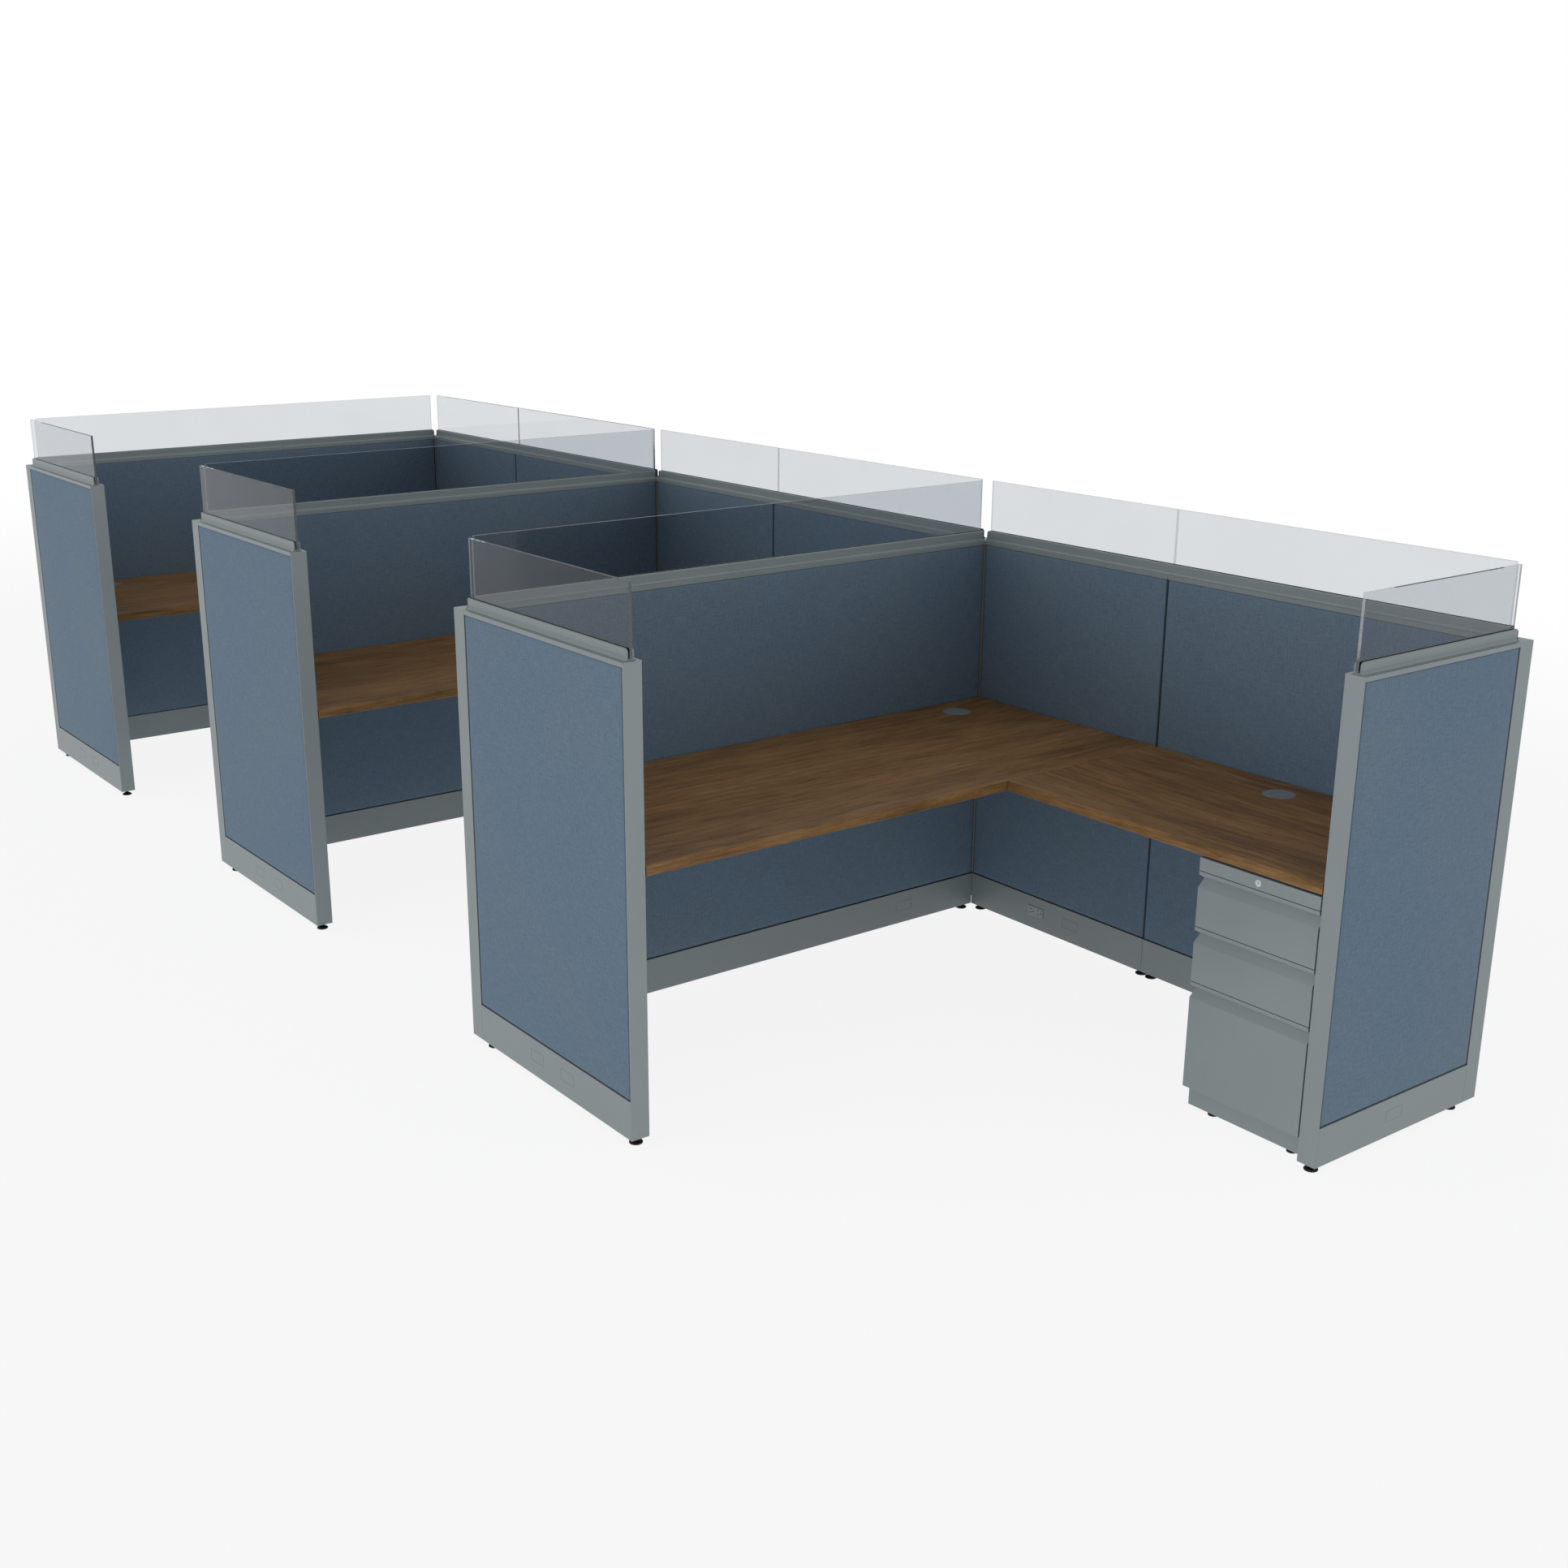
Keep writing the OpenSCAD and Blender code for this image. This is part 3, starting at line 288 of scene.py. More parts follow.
yarnPitch = 2.4 * mm               # from one yarn to the next
fabricLook = {
    "deep": rgb(71, 94, 113),      # the darker yarn
    "pale": rgb(131, 152, 171),    # the lighter yarn
    "relief": 0.25 * mm,
    "bump": 0.6,
    # noises: run is how fast they change along the yarn, against across it
    "slub": {"size": yarnPitch, "run": 0.06},
    "ripple": {"size": 3.2 * mm, "run": 0.3, "rough": 0.6},  # thick places that show from afar
    "mottle": {"size": 9.6 * mm, "run": 0.35},
    "patch": {"size": 0.45},       # soft changes of colour
    "slubTone": 0.55,              # how much thick and thin places show in the colour
    "weaveTone": 0.5,              # how much the crossings of the yarns show in it
    "baseTone": -0.3,
    "slubRelief": 0.4,
    "slubRange": (0.7, 1.3),       # warp and weft slubs together mostly stay in here
    "rippleSwing": 0.07,
    "mottleSwing": 0.015,
    "coolPatch": (0.95, 0.98, 1.02, 1),
    "warmPatch": (1.04, 1.02, 0.99, 1),
    "rough": (0.82, 0.96),
    "specular": 0.25,
    "sheen": 0.12,
    "sheenRough": 0.45,
}


# a plain two-tone weave; every panel stands along X or Y, so x + y runs along each of them
def makeFabric(name):
    form = fabricLook
    tree, shader, place = newMaterial(name)
    axes = addNode(tree, "SeparateXYZ", Vector=place)
    along = calc(tree, "ADD", axes.outputs[0], axes.outputs[1])
    turn = math.pi / yarnPitch
    warp = calc(tree, "SINE", calc(tree, "MULTIPLY", along, turn))
    weft = calc(tree, "SINE", calc(tree, "MULTIPLY", axes.outputs[2], turn))
    over = calc(tree, "MULTIPLY_ADD", calc(tree, "MULTIPLY", warp, weft), 0.5, 0.5)
    cloth = addNode(tree, "CombineXYZ", X=along, Y=axes.outputs[2]).outputs[0]

    # noise on the cloth, drawn out along its level or its upright yarns
    def yarnNoise(upright, size, run, detail=2.0, rough=0.5):
        scale = (1.0, run, 1.0) if upright else (run, 1.0, 1.0)
        return noiseOf(tree, stretch(tree, cloth, scale), size, detail, rough)

    slubs = calc(tree, "ADD", yarnNoise(False, **form["slub"]), yarnNoise(True, **form["slub"]))
    crossing = calc(tree, "MULTIPLY_ADD", over, form["weaveTone"], form["baseTone"])
    tone = calc(tree, "MULTIPLY_ADD", slubs, form["slubTone"], crossing)
    yarns = blendColour(tree, tone, form["deep"], form["pale"])
    patches = swing(tree, noiseOf(tree, cloth, **form["patch"]), 0.0, 1.0)
    tint = blendColour(tree, patches, form["coolPatch"], form["warmPatch"])
    colour = blendColour(tree, 1.0, yarns, tint, "MULTIPLY")
    ripple = yarnNoise(True, **form["ripple"])
    mottle = yarnNoise(False, **form["mottle"])
    level = calc(tree, "ADD", swing(tree, ripple, -form["rippleSwing"], form["rippleSwing"]),
                 swing(tree, mottle, 1 - form["mottleSwing"], 1 + form["mottleSwing"]))
    plug(tree, shader.inputs["Base Color"], shaded(tree, colour, level))
    plug(tree, shader.inputs["Roughness"],
         spread(tree, slubs, *form["slubRange"], *form["rough"]))
    plug(tree, shader.inputs["Specular IOR Level"], form["specular"])
    plug(tree, shader.inputs["Sheen Weight"], form["sheen"])
    plug(tree, shader.inputs["Sheen Roughness"], form["sheenRough"])
    under = calc(tree, "MULTIPLY", calc(tree, "SUBTRACT", 1.0, over), calc(tree, "ABSOLUTE", warp))
    crown = calc(tree, "MULTIPLY_ADD", over, calc(tree, "ABSOLUTE", weft), under)
    setBump(tree, shader, calc(tree, "MULTIPLY_ADD", slubs, form["slubRelief"], crown),
            form["relief"], form["bump"])


makeFabric("panelFabric")

paintLook = {
    "drift": {"size": 0.35},       # slow changes of tone
    "driftSwing": 0.03,
    "speck": {"size": 0.9 * mm, "detail": 2.0, "rough": 0.6},
    "speckSwing": 0.06,
    "roughSwing": 0.12,
    "peelDetail": 2.0,
    "bump": 0.5,
    "scuff": {"size": 0.05, "detail": 6.0, "rough": 0.65},
    "scuffScale": (1.0, 1.0, 6.0),  # they lie flat
    "scuffEdge": (0.56, 0.78),     # the part of the noise that turns into a scuff
    "scuffTop": 0.16,              # metres above the floor, where the scuffs end
    "scuffColour": rgb(104, 108, 109),
    "scuffRough": 0.25,
}


# powder coat or moulded plastic: orange peel, slow drift of tone, faint scuffs near the floor
def makePaint(name, colour, rough=0.42, peel=1.3 * mm, depth=0.03 * mm, scuffs=0.0):
    form = paintLook
    tree, shader, place = newMaterial(name)
    drift = noiseOf(tree, place, **form["drift"])
    speck = noiseOf(tree, place, **form["speck"])
    tone = calc(tree, "ADD", swing(tree, drift, 1 - form["driftSwing"], 1 + form["driftSwing"]),
                calc(tree, "MULTIPLY_ADD", speck, form["speckSwing"], -form["speckSwing"] / 2))
    painted = shaded(tree, colour, tone)
    roughness = calc(tree, "MULTIPLY_ADD", drift, form["roughSwing"],
                     rough - form["roughSwing"] / 2)
    if scuffs:
        height = addNode(tree, "SeparateXYZ", Vector=place).outputs[2]
        low = spread(tree, height, 0.0, form["scuffTop"], scuffs, 0.0)
        marks = noiseOf(tree, stretch(tree, place, form["scuffScale"]), **form["scuff"])
        worn = calc(tree, "MULTIPLY", spread(tree, marks, *form["scuffEdge"]), low)
        painted = blendColour(tree, worn, painted, form["scuffColour"])
        roughness = calc(tree, "MULTIPLY_ADD", worn, form["scuffRough"], roughness)
    plug(tree, shader.inputs["Base Color"], painted)
    plug(tree, shader.inputs["Roughness"], roughness)
    setBump(tree, shader, noiseOf(tree, place, peel, form["peelDetail"]), depth, form["bump"])


paints = {
    "trimPaint": {"colour": rgb(140, 150, 153), "scuffs": 0.16},
    "pedestalPaint": {"colour": rgb(148, 158, 161), "scuffs": 0.14},
    # the end caps' moulded plastic is made lighter than the trim paint: painted light that makes
    # up for the shade on the end faces
    "capPlasticPaintedLight": {"colour": rgb(150, 160, 163), "rough": 0.5, "peel": 0.8 * mm,
                    "depth": 0.04 * mm, "scuffs": 0.14},
    "framePaint": {"colour": rgb(58, 61, 64), "rough": 0.5},
    "postPaint": {"colour": rgb(150, 152, 148), "rough": 0.45},
    "outletPlastic": {"colour": rgb(152, 160, 163), "rough": 0.32, "peel": 0.6 * mm,
                      "depth": 0.01 * mm},
    "grommetPlastic": {"colour": rgb(126, 134, 139), "rough": 0.48, "peel": 0.5 * mm,
                       "depth": 0.03 * mm},
    "blackPlastic": {"colour": rgb(18, 18, 19), "rough": 0.45, "peel": 0.6 * mm,
                     "depth": 0.03 * mm},
    "gasketRubber": {"colour": rgb(16, 17, 18), "rough": 0.7, "peel": 0.4 * mm,
                     "depth": 0.02 * mm},
    "backerSheet": {"colour": rgb(84, 76, 68), "rough": 0.6, "peel": 0.9 * mm,
                    "depth": 0.04 * mm},   # under the worktops
}
for name, values in paints.items():
    makePaint(name, **values)

metalLook = {
    "drift": {"size": 0.06, "detail": 4.0},
    "tone": (0.9, 1.06),
    "roughSwing": 0.16,
    "line": {"size": 0.4 * mm, "detail": 2.0, "rough": 0.6},
    "lineSwing": 0.12,
    "lineBump": 0.5,
    "spangleSwing": 0.16,
    "spangleBump": 0.3,
    "relief": 0.01 * mm,
}


# plated or galvanised metal, with fine lines along one axis or small crystals
def makeMetal(name, colour, rough, lines=None, spangle=0.0, bare=1.0):
    form = metalLook
    tree, shader, place = newMaterial(name)
    drift = noiseOf(tree, place, **form["drift"])
    tone = swing(tree, drift, *form["tone"])

    # adds a pattern to the tone, evenly up and down
    def withPattern(pattern, amount):
        return calc(tree, "MULTIPLY_ADD", pattern, amount,
                    calc(tree, "SUBTRACT", tone, amount / 2))

    if lines:
        streak = noiseOf(tree, stretch(tree, place, lines), **form["line"])
        tone = withPattern(streak, form["lineSwing"])
        setBump(tree, shader, streak, form["relief"], form["lineBump"])
    if spangle:
        grain = cellsOf(tree, place, spangle)
        tone = withPattern(grain, form["spangleSwing"])
        setBump(tree, shader, grain, form["relief"], form["spangleBump"])
    plug(tree, shader.inputs["Base Color"], shaded(tree, colour, tone))
    plug(tree, shader.inputs["Metallic"], bare)
    plug(tree, shader.inputs["Roughness"],
         calc(tree, "MULTIPLY_ADD", drift, form["roughSwing"], rough - form["roughSwing"] / 2))


metals = {
    "conduitSteel": {"colour": rgb(168, 171, 174), "rough": 0.42, "spangle": 9 * mm},
    "zincSteel": {"colour": rgb(188, 192, 196), "rough": 0.3, "lines": (1.0, 0.02, 1.0)},
    "stemSteel": {"colour": rgb(84, 86, 88), "rough": 0.38},
    # the lock plug's plating is mostly not metallic and near white: its bright reflection is
    # painted into the colour
    "lockNickelPaintedShine": {"colour": rgb(236, 237, 238), "rough": 0.3, "spangle": 3 * mm, "bare": 0.3},
}
for name, values in metals.items():
    makeMetal(name, **values)

woodLook = {
    "heart": rgb(88, 62, 33),      # the darkest streaks, and the pores
    "body": rgb(133, 98, 58),
    "pale": rgb(163, 126, 80),
    "stops": (0.4, 0.58, 0.76),    # the tones at which these three stand
    "rough": 0.48,
    "bandRough": 0.54,             # of the edge banding
    "gloss": 0.1,                  # how much smoother the pale wood is
    "specular": 0.26,
    "bend": {"size": 0.9, "detail": 2.0},  # of the grain's course
    "bendDepth": 0.09,
    # noises: run is how fast they change along the grain, against across it
    "figure": {"size": 0.14, "run": 0.11, "detail": 3.0, "rough": 0.55},
    "streak": {"size": 0.02, "run": 0.11, "detail": 5.0, "rough": 0.66},
    "fibre": {"size": 3.2 * mm, "run": 0.045, "detail": 4.0, "rough": 0.62},
    "pore": {"size": 0.9 * mm, "run": 0.035, "detail": 1.0, "rough": 0.4},
    "poreEdge": (0.62, 0.74),      # the part of the noise that turns into a pore
    "figureTone": 0.4,             # how much each of them shows
    "streakTone": 0.62,
    "fibreTone": 0.42,
    "poreTone": 0.5,
    "baseTone": -0.14,
    "relief": 0.04 * mm,
    "bump": 0.5,
}


# walnut laminate with its grain along X or Y
def makeWood(name, axis, rough):
    form = woodLook
    tree, shader, place = newMaterial(name)

    # noise drawn out along the grain
    def grainNoise(source, size, run, detail, rough):
        scale = (1.0, run, 1.0) if axis == "Y" else (run, 1.0, 1.0)
        return noiseOf(tree, stretch(tree, source, scale), size, detail, rough)

    offset = calc(tree, "MULTIPLY", noiseOf(tree, place, **form["bend"]), form["bendDepth"])
    push = addNode(tree, "CombineXYZ", **{"X" if axis == "Y" else "Y": offset})
    bent = addNode(tree, "VectorMath", {"operation": "ADD"})
    plug(tree, bent.inputs[0], place)
    plug(tree, bent.inputs[1], push.outputs[0])
    figure = grainNoise(bent.outputs[0], **form["figure"])
    streaks = grainNoise(bent.outputs[0], **form["streak"])
    fibres = grainNoise(place, **form["fibre"])
    pores = grainNoise(place, **form["pore"])
    pore = spread(tree, pores, *form["poreEdge"], 0.0, form["poreTone"])
    tone = calc(tree, "ADD", calc(tree, "MULTIPLY", figure, form["figureTone"]),
                calc(tree, "MULTIPLY", streaks, form["streakTone"]))
    tone = calc(tree, "MULTIPLY_ADD", fibres, form["fibreTone"],
                calc(tree, "ADD", tone, form["baseTone"]))
    ramp = addNode(tree, "ValToRGB", Fac=tone)
    stops = ramp.color_ramp.elements
    stops.new(form["stops"][1])
    for stop, position, shade in zip(stops, form["stops"], ("heart", "body", "pale")):
        stop.position, stop.color = position, form[shade]
    plug(tree, shader.inputs["Base Color"],
         blendColour(tree, pore, ramp.outputs[0], form["heart"]))
    plug(tree, shader.inputs["Roughness"],
         calc(tree, "MULTIPLY_ADD", tone, -form["gloss"], rough))
    plug(tree, shader.inputs["Specular IOR Level"], form["specular"])
    setBump(tree, shader, calc(tree, "SUBTRACT", fibres, pore), form["relief"], form["bump"])


for axis in "XY":
    makeWood(f"woodAlong{axis}", axis, woodLook["rough"])
    makeWood(f"bandAlong{axis}", axis, woodLook["bandRough"])

coreLook = {
    "deep": rgb(132, 106, 72),
    "pale": rgb(176, 148, 108),
    "chip": 1.6 * mm,
    "rough": 0.85,
    "relief": 0.2 * mm,
    "bump": 0.6,
}


# the pressed wood chips that show in the worktops' holes
def makeCore(name):
    form = coreLook
    tree, shader, place = newMaterial(name)
    chips = cellsOf(tree, place, form["chip"])
    plug(tree, shader.inputs["Base Color"], blendColour(tree, chips, form["deep"], form["pale"]))
    plug(tree, shader.inputs["Roughness"], form["rough"])
    setBump(tree, shader, chips, form["relief"], form["bump"])


makeCore("boardCore")

glassLook = {
    "tint": rgb(220, 223, 226),
    "smear": {"size": 0.2},        # wiped traces
    "smearEdge": (0.35, 0.75),     # the part of the noise that turns into a trace
    "smearLight": 0.985,           # how much light a trace lets through
    "index": 1.2,                  # low, so that it mirrors as little as the photo's does
    "shade": (0.78, 0.79, 0.8, 1),  # what its shadow lets through
    "edge": rgb(168, 175, 181),
    "edgeMark": {"size": 1.5 * mm, "detail": 2.0},
    "edgeMarkLight": 0.9,
    "edgeRough": (0.3, 0.45),
    "edgeAlpha": 0.4,
    "edgeRelief": 0.02 * mm,
    "edgeBump": 0.4,
}


def makeGlass(name):
    form = glassLook
    tree, shader, place = newMaterial(name)
    smears = spread(tree, noiseOf(tree, place, **form["smear"]), *form["smearEdge"])
    plug(tree, shader.inputs["Base Color"],
         blendColour(tree, smears, form["tint"], dimmed(form["tint"], form["smearLight"])))
    plug(tree, shader.inputs["Transmission Weight"], 1.0)
    plug(tree, shader.inputs["IOR"], form["index"])
    plug(tree, shader.inputs["Roughness"], 0.0)
    rays = addNode(tree, "LightPath").outputs
    through = addNode(tree, "BsdfTransparent", Color=form["shade"])
    setSurface(tree, mixShaders(tree, anyOf(tree, rays["Is Shadow Ray"], rays["Is Diffuse Ray"]),
                                shader.outputs[0], through.outputs[0]))


# the ground edges: milky, with the marks of the wheel
def makeGlassEdge(name):
    form = glassLook
    tree, shader, place = newMaterial(name)
    marks = noiseOf(tree, place, **form["edgeMark"])
    plug(tree, shader.inputs["Base Color"],
         blendColour(tree, marks, form["edge"], dimmed(form["edge"], form["edgeMarkLight"])))
    plug(tree, shader.inputs["Roughness"], swing(tree, marks, *form["edgeRough"]))
    plug(tree, shader.inputs["Alpha"], form["edgeAlpha"])
    setBump(tree, shader, marks, form["edgeRelief"], form["edgeBump"])


makeGlass("paneGlass")
makeGlassEdge("glassEdge")


print("stage: shared mesh work")

meshWork = {
    "weld": 0.001 * mm,        # corners this close are one
    "flat": 0.2,               # degrees between faces that are one flat face
    "bevelFrom": 50,           # an edge that turns by more degrees than this is eased
    "bevelSteps": 2,
    "bevelProfile": 0.6,       # a little rounder than an arc
}


# a CAD node's mesh with its split corners joined and its flat faces whole again
def weldedMesh(nodeName):
    mesh = bmesh.new()
    mesh.from_mesh(cadNodes[nodeName].data)
    bmesh.ops.remove_doubles(mesh, verts=mesh.verts, dist=meshWork["weld"])
    bmesh.ops.dissolve_limit(mesh, angle_limit=math.radians(meshWork["flat"]), verts=mesh.verts,
                             edges=mesh.edges)
    mesh.verts.index_update()
    mesh.edges.index_update()
    return mesh


# the corners of each separate solid in a mesh
def islandsOf(mesh):
    seen = set()
    groups = []
    for start in mesh.verts:
        if start in seen:
            continue
        seen.add(start)
        group = [start]
        for vert in group:     # the group grows while its neighbours are found
            for edge in vert.link_edges:
                other = edge.other_vert(vert)
                if other not in seen:
                    seen.add(other)
                    group.append(other)
        groups.append(group)
    return groups


# the lowest and highest corner of the box round some corners
def boxRound(group):
    return [Vector([pick(vert.co[i] for vert in group) for i in range(3)]) for pick in (min, max)]


# lowest and highest corner of each separate solid in a CAD node, in a steady order
def solidBoxes(nodeName):
    mesh = weldedMesh(nodeName)
    boxes = [boxRound(group) for group in islandsOf(mesh)]
    mesh.free()
    return sorted(boxes, key=lambda pair: tuple(round(v, 4) for v in (*pair[0], *pair[1])))


# finishes are names, in the order of the faces' material numbers
def addPiece(name, mesh, finishes, nodeName, smoothUnder, evenFlats=False):
    data = bpy.data.meshes.new(name)
    bmesh.ops.recalc_face_normals(mesh, faces=mesh.faces)
    mesh.to_mesh(data)
    mesh.free()
    for look in finishes:
        data.materials.append(finish[look])
    data.shade_smooth()
    data.set_sharp_from_angle(angle=math.radians(smoothUnder))
    made = bpy.data.objects.new(name, data)
    bpy.context.scene.collection.objects.link(made)
    if evenFlats:
        made.modifiers.new("evenFlats", "WEIGHTED_NORMAL").keep_sharp = True
    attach(made, bodyOf[nodeName])
    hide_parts(nodeName)


# the CAD form with its sheet edges and folds eased, so that they catch the light;
# a second finish goes on all the solids beside the largest one
def easedPiece(name, nodeName, width, *finishes):
    mesh = weldedMesh(nodeName)
    groups = islandsOf(mesh)
    if len(finishes) > 1:
        groups.sort(key=lambda group: -math.dist(*boxRound(group)))
        for group in groups[1:]:
            for face in {face for vert in group for face in vert.link_faces}:
                face.material_index = 1
    for group in groups:
        edges = {edge for vert in group for edge in vert.link_edges}
        sharp = [edge for edge in edges if edge.is_manifold and edge.is_convex
                 and edge.calc_face_angle() > math.radians(meshWork["bevelFrom"])]
        sharp.sort(key=lambda edge: edge.index)
        bmesh.ops.bevel(mesh, geom=sharp, offset=width, offset_type="OFFSET",
                        segments=meshWork["bevelSteps"], profile=meshWork["bevelProfile"],
                        affect="EDGES", clamp_overlap=True, material=-1)
    addPiece(name, mesh, finishes, nodeName, smoothUnder=50, evenFlats=True)


# joins two rings of corners with faces
def bridge(mesh, first, second, material=0):
    count = len(first)
    for i in range(count):
        j = (i + 1) % count
        face = mesh.faces.new((first[i], first[j], second[j], second[i]))
        face.material_index = material


print("stage: fabric tiles")

tileForm = {
    "round": 3.0 * mm,         # rounding of the wrapped edge
    "corner": 4.0 * mm,        # rounding of the tile's corners, face on
    "leastCorner": 0.3 * mm,
    "backEase": 0.6 * mm,
    "steps": 4,
    "crown": 0.7 * mm,         # the padding stands this much higher in the middle
    "padding": ((12 * mm, 0.45), (40 * mm, 0.8), (110 * mm, 1.0)),  # inset, share of the crown
    "panel": 60 * mm,          # a tile's twin on the other face is nearer than this
}


# one ring of a rounded rectangle that stands along X, this far out from the back
def ringOf(mesh, low, high, inset, out):
    radius = max(tileForm["corner"] - inset, tileForm["leastCorner"])
    reach = inset + radius
    verts = []
    for quarter, (x, z) in enumerate(((high[0] - reach, high[1] - reach),
                                      (low[0] + reach, high[1] - reach),
                                      (low[0] + reach, low[1] + reach),
                                      (high[0] - reach, low[1] + reach))):
        for i in range(tileForm["steps"] + 1):
            angle = math.radians(90 * quarter + 90 * i / tileForm["steps"])
            verts.append(mesh.verts.new((x + radius * math.cos(angle), out,
                                         z + radius * math.sin(angle))))
    return verts


# a padded board wrapped in fabric, drawn lying along X with its back at y = 0
def wrappedTile(length, thick, bottom, top):
    edge, crown, steps = tileForm["round"], tileForm["crown"], tileForm["steps"]
    layers = [(tileForm["backEase"], 0.0), (0.0, tileForm["backEase"])]
    for i in range(steps + 1):
        angle = math.radians(90 * i / steps)
        layers.append((edge * (1 - math.cos(angle)),
                       thick - crown - edge * (1 - math.sin(angle))))
    layers += [(inset, thick - crown * (1 - rise)) for inset, rise in tileForm["padding"]]
    tile = bmesh.new()
    rings = [ringOf(tile, (0, bottom), (length, top), inset, out) for inset, out in layers]
    for first, second in zip(rings, rings[1:]):
        bridge(tile, first, second)
    tile.faces.new(rings[0])
    tile.faces.new(rings[-1])
    return tile


# stands a drawn tile in its box; outward is +1 or -1 along the box's thin axis
def placeTile(tile, turned, low, high, outward):
    for vert in tile.verts:
        x, y, z = vert.co
        if turned:
            vert.co = (low.x + y if outward > 0 else high.x - y, low.y + x, z)
        else:
            vert.co = (low.x + x, low.y + y if outward > 0 else high.y - y, z)


def tilePiece(name, nodeName):
    boxes = solidBoxes(nodeName)
    whole = bmesh.new()
    for low, high in boxes:
        size = high - low
        turned = size.y > size.x
        thin, wide = (0, 1) if turned else (1, 0)
        # its twin on the panel's other face tells which way is out
        twins = [other for other in boxes if other[0] != low
                 and abs(other[0][wide] - low[wide]) < mm
                 and abs(other[1][wide] - high[wide]) < mm
                 and abs(other[0][thin] - low[thin]) < tileForm["panel"]]
        outward = 1 if twins and twins[0][0][thin] < low[thin] else -1
        tile = wrappedTile(size[wide], size[thin], low.z, high.z)
        placeTile(tile, turned, low, high, outward)
        bmesh.ops.recalc_face_normals(tile, faces=tile.faces)
        data = bpy.data.meshes.new("tileWork")
        tile.to_mesh(data)
        tile.free()
        whole.from_mesh(data)
        bpy.data.meshes.remove(data)
    addPiece(name, whole, ["panelFabric"], nodeName, smoothUnder=40)


tilePiece("spineTileFabric", "spine_tiles")
tilePiece("dividerTileFabric", "divider_tiles")
tilePiece("wingTileFabric", "wing_tiles")


print("stage: glass")

paneForm = {"arris": 0.8 * mm}  # the ground chamfer along each edge


def glassPiece(name, nodeName):
    mesh = bmesh.new()
    arris = paneForm["arris"]
    for low, high in solidBoxes(nodeName):
        size = high - low
        thin, wide = (0, 1) if size.x < size.y else (1, 0)
        rings = []
        for depth, inset in ((low[thin], arris), (low[thin] + arris, 0.0),
                             (high[thin] - arris, 0.0), (high[thin], arris)):
            left, right = low[wide] + inset, high[wide] - inset
            bottom, top = low.z + inset, high.z - inset
            ring = []
            for across, up in ((left, bottom), (right, bottom), (right, top), (left, top)):
                place = Vector((0, 0, up))
                place[thin], place[wide] = depth, across
                ring.append(mesh.verts.new(place))
            rings.append(ring)
        for first, second in zip(rings, rings[1:]):
            bridge(mesh, first, second, 1)
        mesh.faces.new(rings[0])
        mesh.faces.new(rings[-1])
    addPiece(name, mesh, ["paneGlass", "glassEdge"], nodeName, smoothUnder=10)


glassPiece("glassPanes", "glass_panes")


print("stage: worktops")

boardForm = {
    "flat": 0.8,               # a face that looks up or down more than this is top or underside
    "bandReach": 1.6 * mm,     # faces this near the outline are edge banding, eased edges too
}


# the box that holds a place, or else the nearest one
def boxAt(boxes, place):
    for low, high in boxes:
        if all(low[i] - mm <= place[i] <= high[i] + mm for i in range(3)):
            return low, high
    return min(boxes, key=lambda pair: ((pair[0] + pair[1]) / 2 - place).length)


# edge faces get the banding, the walls of the holes the board's core, the underside a backer;
# along is the axis of the board's grain, and across that of its ends
def boardPiece(name, nodeName, along, across):
    grain = "XY".index(along)
    mesh = weldedMesh(nodeName)
    boxes = solidBoxes(nodeName)
    finishes = [f"woodAlong{along}", f"bandAlong{along}", f"bandAlong{across}", "boardCore",
                "backerSheet"]
    for face in mesh.faces:
        normal, middle = face.normal, face.calc_center_median()
        box = boxAt(boxes, middle)
        if abs(normal.z) > boardForm["flat"]:
            look = f"woodAlong{along}" if normal.z > 0 else "backerSheet"
        elif all(abs(middle[i] - corner[i]) >= boardForm["bandReach"]
                 for i in (0, 1) for corner in box):
            look = "boardCore"
        else:
            isLong = abs(normal[1 - grain]) > abs(normal[grain])
            look = f"bandAlong{along if isLong else across}"
        face.material_index = finishes.index(look)
    addPiece(name, mesh, finishes, nodeName, smoothUnder=40, evenFlats=True)


boardPiece("mainWorktopBoards", "main_worktops", "Y", "X")
boardPiece("returnWorktopBoards", "return_worktops", "X", "Y")


print("stage: painted trim and pedestals")

easedForms = {                 # node: piece, width of the eased edge, finish
    "raceway_covers": ("racewayCovers", 0.35 * mm, "trimPaint"),
    "top_caps": ("topCaps", 0.5 * mm, "trimPaint"),
    "post_covers": ("postCovers", 0.5 * mm, "trimPaint"),
    "end_caps": ("endCaps", 0.4 * mm, "capPlasticPaintedLight"),
    "glass_holders": ("glassHolders", 0.3 * mm, "trimPaint"),
    "lock_rails": ("lockRails", 0.4 * mm, "pedestalPaint"),
    "grommet_liners": ("grommetLiners", 0.2 * mm, "grommetPlastic"),
    "grommet_caps": ("grommetCaps", 0.2 * mm, "grommetPlastic"),
    "corner_posts": ("cornerPosts", 0.5 * mm, "postPaint"),
    "receptacles": ("duplexOutlets", 0.25 * mm, "outletPlastic"),
    "worktop_brackets": ("worktopBrackets", 0.4 * mm, "framePaint"),
    "glazing_gaskets": ("glazingGaskets", 0.2 * mm, "gasketRubber"),
}
for nodeName, (name, width, look) in easedForms.items():
    easedPiece(name, nodeName, width, look)

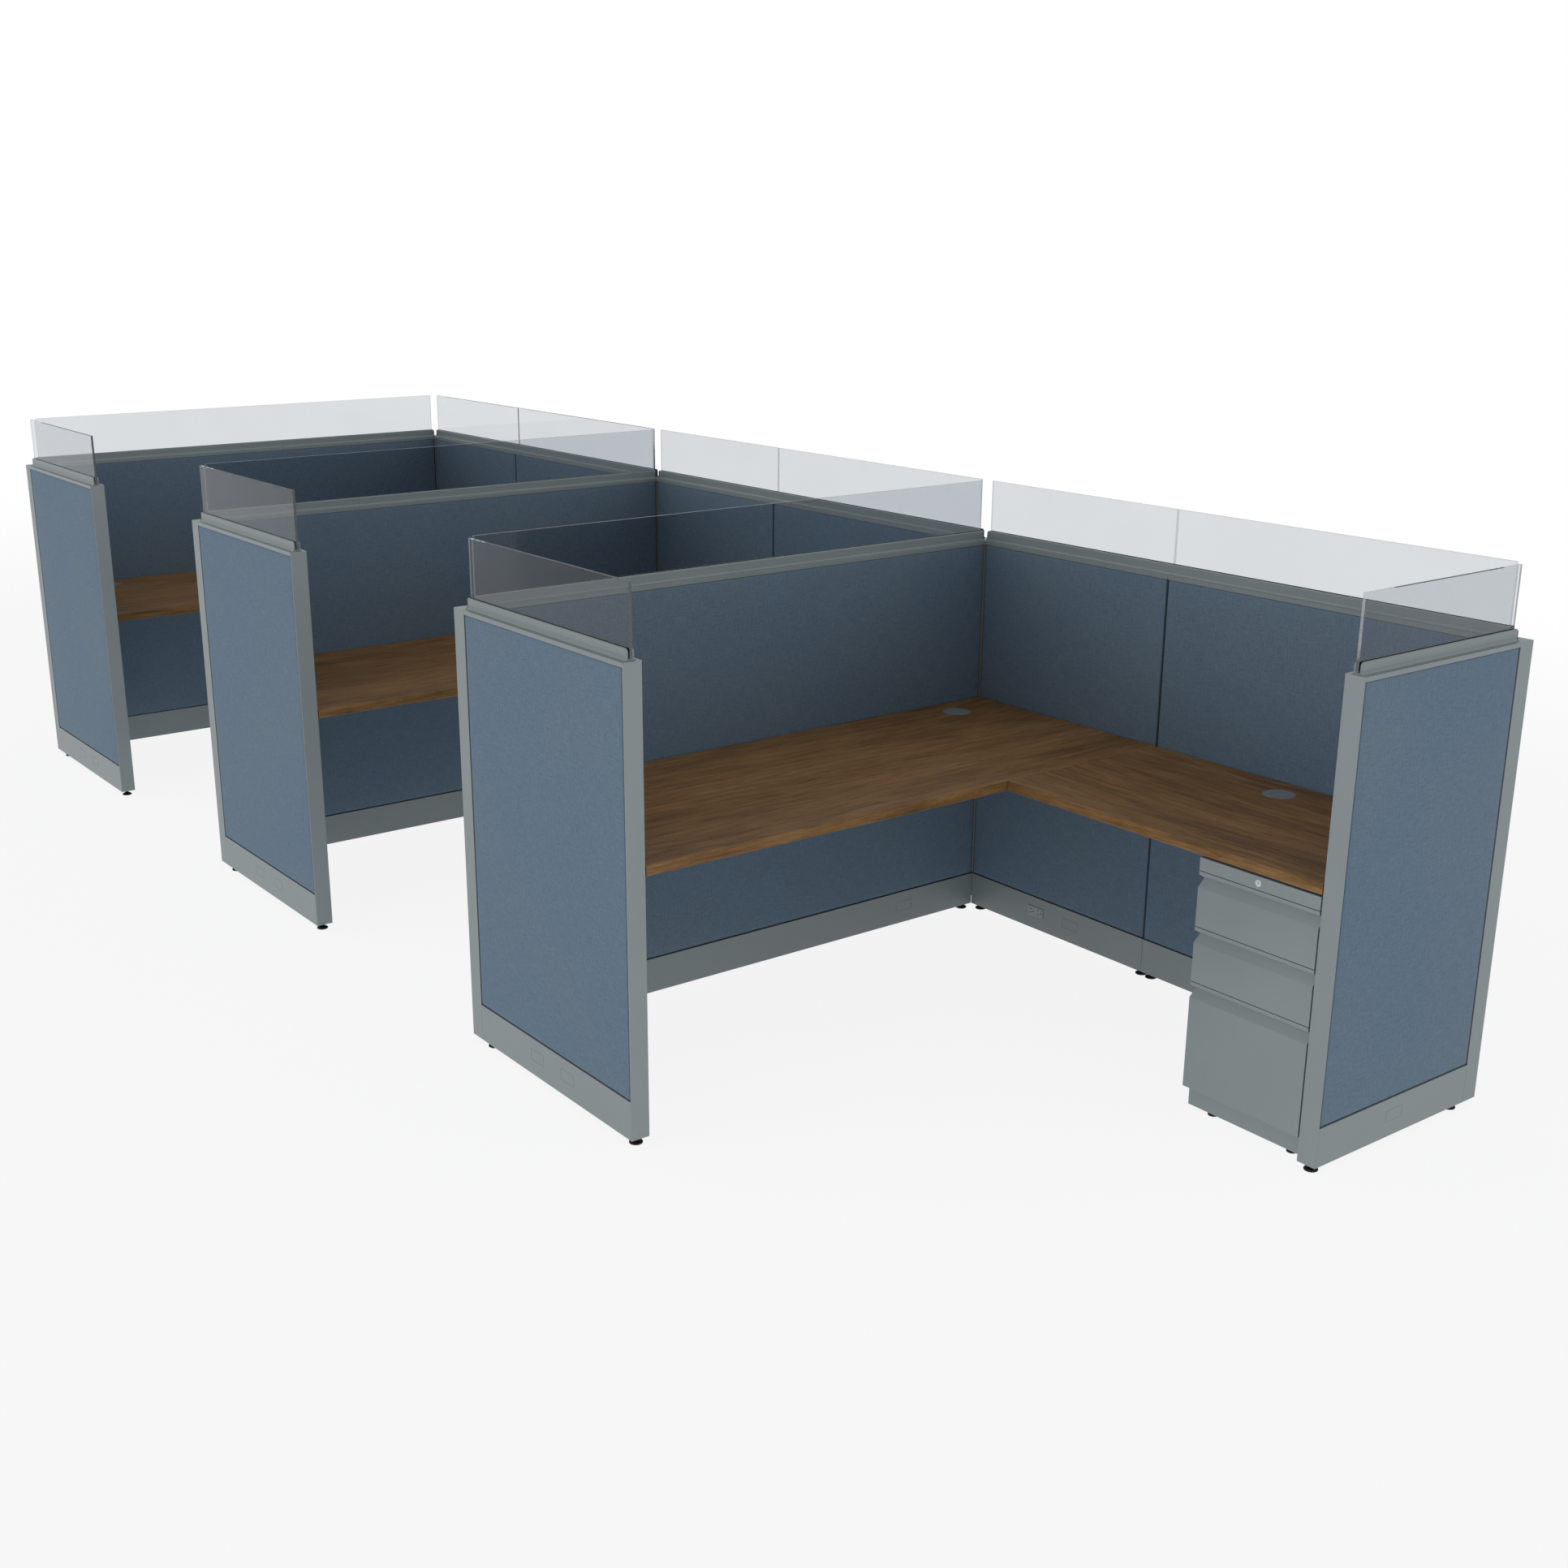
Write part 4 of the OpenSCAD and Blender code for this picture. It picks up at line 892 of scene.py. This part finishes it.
pedestalForm = {               # width of the eased edge and finish of each kind of piece
    "shell": (0.4 * mm, "pedestalPaint"),
    "face": (0.5 * mm, "pedestalPaint"),
    "box": (0.25 * mm, "pedestalPaint", "zincSteel"),
    "slide": (0.2 * mm, "zincSteel"),
    "plug": (0.25 * mm, "lockNickelPaintedShine"),
    "bar": (0.25 * mm, "zincSteel"),
}
for station in (1, 2, 3):
    easedPiece(f"pedestalShell{station}", f"pedestal_case_{station}", *pedestalForm["shell"])
    for level in ("top", "middle", "file"):
        easedPiece(f"{level}DrawerFace{station}", f"{level}_drawer_front_{station}",
                   *pedestalForm["face"])
        easedPiece(f"{level}DrawerBox{station}", f"{level}_drawer_box_{station}",
                   *pedestalForm["box"])
        easedPiece(f"{level}SlideMembers{station}", f"{level}_drawer_slides_{station}",
                   *pedestalForm["slide"])
    easedPiece(f"lockPlug{station}", f"lock_plug_{station}", *pedestalForm["plug"])
    easedPiece(f"lockBar{station}", f"lock_bar_{station}", *pedestalForm["bar"])


print("stage: feet")

footForm = {
    "rimRound": 0.9 * mm,
    "rimSteps": 4,
    "rimHeight": 4.0 * mm,
    "height": 9.0 * mm,        # of the pad, up to the stem
    "stemRadius": 5.0 * mm,
    "pitch": 1.5 * mm,
    "threadDepth": 0.7 * mm,
    "sides": 28,
    "stemSides": 16,
}


def turnedRing(mesh, centre, radius, height, sides):
    return [mesh.verts.new((centre.x + radius * math.cos(math.tau * i / sides),
                            centre.y + radius * math.sin(math.tau * i / sides), height))
            for i in range(sides)]


# radius and height along the pad's outline: rounded rim, slope and neck up to the stem;
# the shares of ease take the sharpness off the rim's top and the neck
def padOutline(radius):
    ease, rim, top = footForm["rimRound"], footForm["rimHeight"], footForm["height"]
    outline = []
    for step in range(footForm["rimSteps"] + 1):
        turn = math.pi / 2 * step / footForm["rimSteps"]
        outline.append((radius - ease + ease * math.sin(turn), ease - ease * math.cos(turn)))
    neck = radius / 2
    outline += [(radius, rim - ease), (radius - 0.35 * ease, rim - 0.3 * ease),
                (radius - ease, rim), (neck + ease, top - 0.5 * ease),
                (neck + 0.3 * ease, top - 0.1 * ease), (neck, top),
                (footForm["stemRadius"], top)]
    return outline


# rings that take turns at crest and root climb half a pitch each, so that the thread winds up
def addStem(mesh, centre, foot, head):
    sides, pitch = footForm["stemSides"], footForm["pitch"]
    rings = []
    for row in range(int((head - foot) / pitch * 2) + 3):
        deep = footForm["threadDepth"] if row % 2 else 0.0
        ring = turnedRing(mesh, centre, footForm["stemRadius"] - deep, foot, sides)
        for i, vert in enumerate(ring):
            climb = (row - 2 + 2 * i / sides) * pitch / 2
            vert.co.z = min(max(foot + climb, foot), head)
        rings.append(ring)
    for first, second in zip(rings, rings[1:]):
        bridge(mesh, first, second, 1)
    for ring in (rings[0], rings[-1]):
        mesh.faces.new(ring).material_index = 1


# a moulded pad and a threaded stem that goes up into the leg
def footPiece(name, nodeName):
    mesh = bmesh.new()
    for low, high in solidBoxes(nodeName):
        centre = (low + high) / 2
        rings = [turnedRing(mesh, centre, reach, low.z + rise, footForm["sides"])
                 for reach, rise in padOutline((high.x - low.x) / 2)]
        for first, second in zip(rings, rings[1:]):
            bridge(mesh, first, second)
        mesh.faces.new(rings[0])
        mesh.faces.new(rings[-1])
        addStem(mesh, centre, low.z + footForm["height"], high.z)
    addPiece(name, mesh, ["blackPlastic", "stemSteel"], nodeName, smoothUnder=40)


footPiece("levellingFeet", "levelling_feet")
footPiece("pedestalFeet", "pedestal_feet")


print("stage: materials of the CAD pieces that stay")

keptLooks = {
    "panel_frames": "framePaint",
    "power_harness": "conduitSteel",
    "worktop_fixings": "zincSteel",
    "slide_channels": "zincSteel",
}
for nodeName, look in keptLooks.items():
    data = cadNodes[nodeName].data
    data.materials.clear()
    data.materials.append(finish[look])
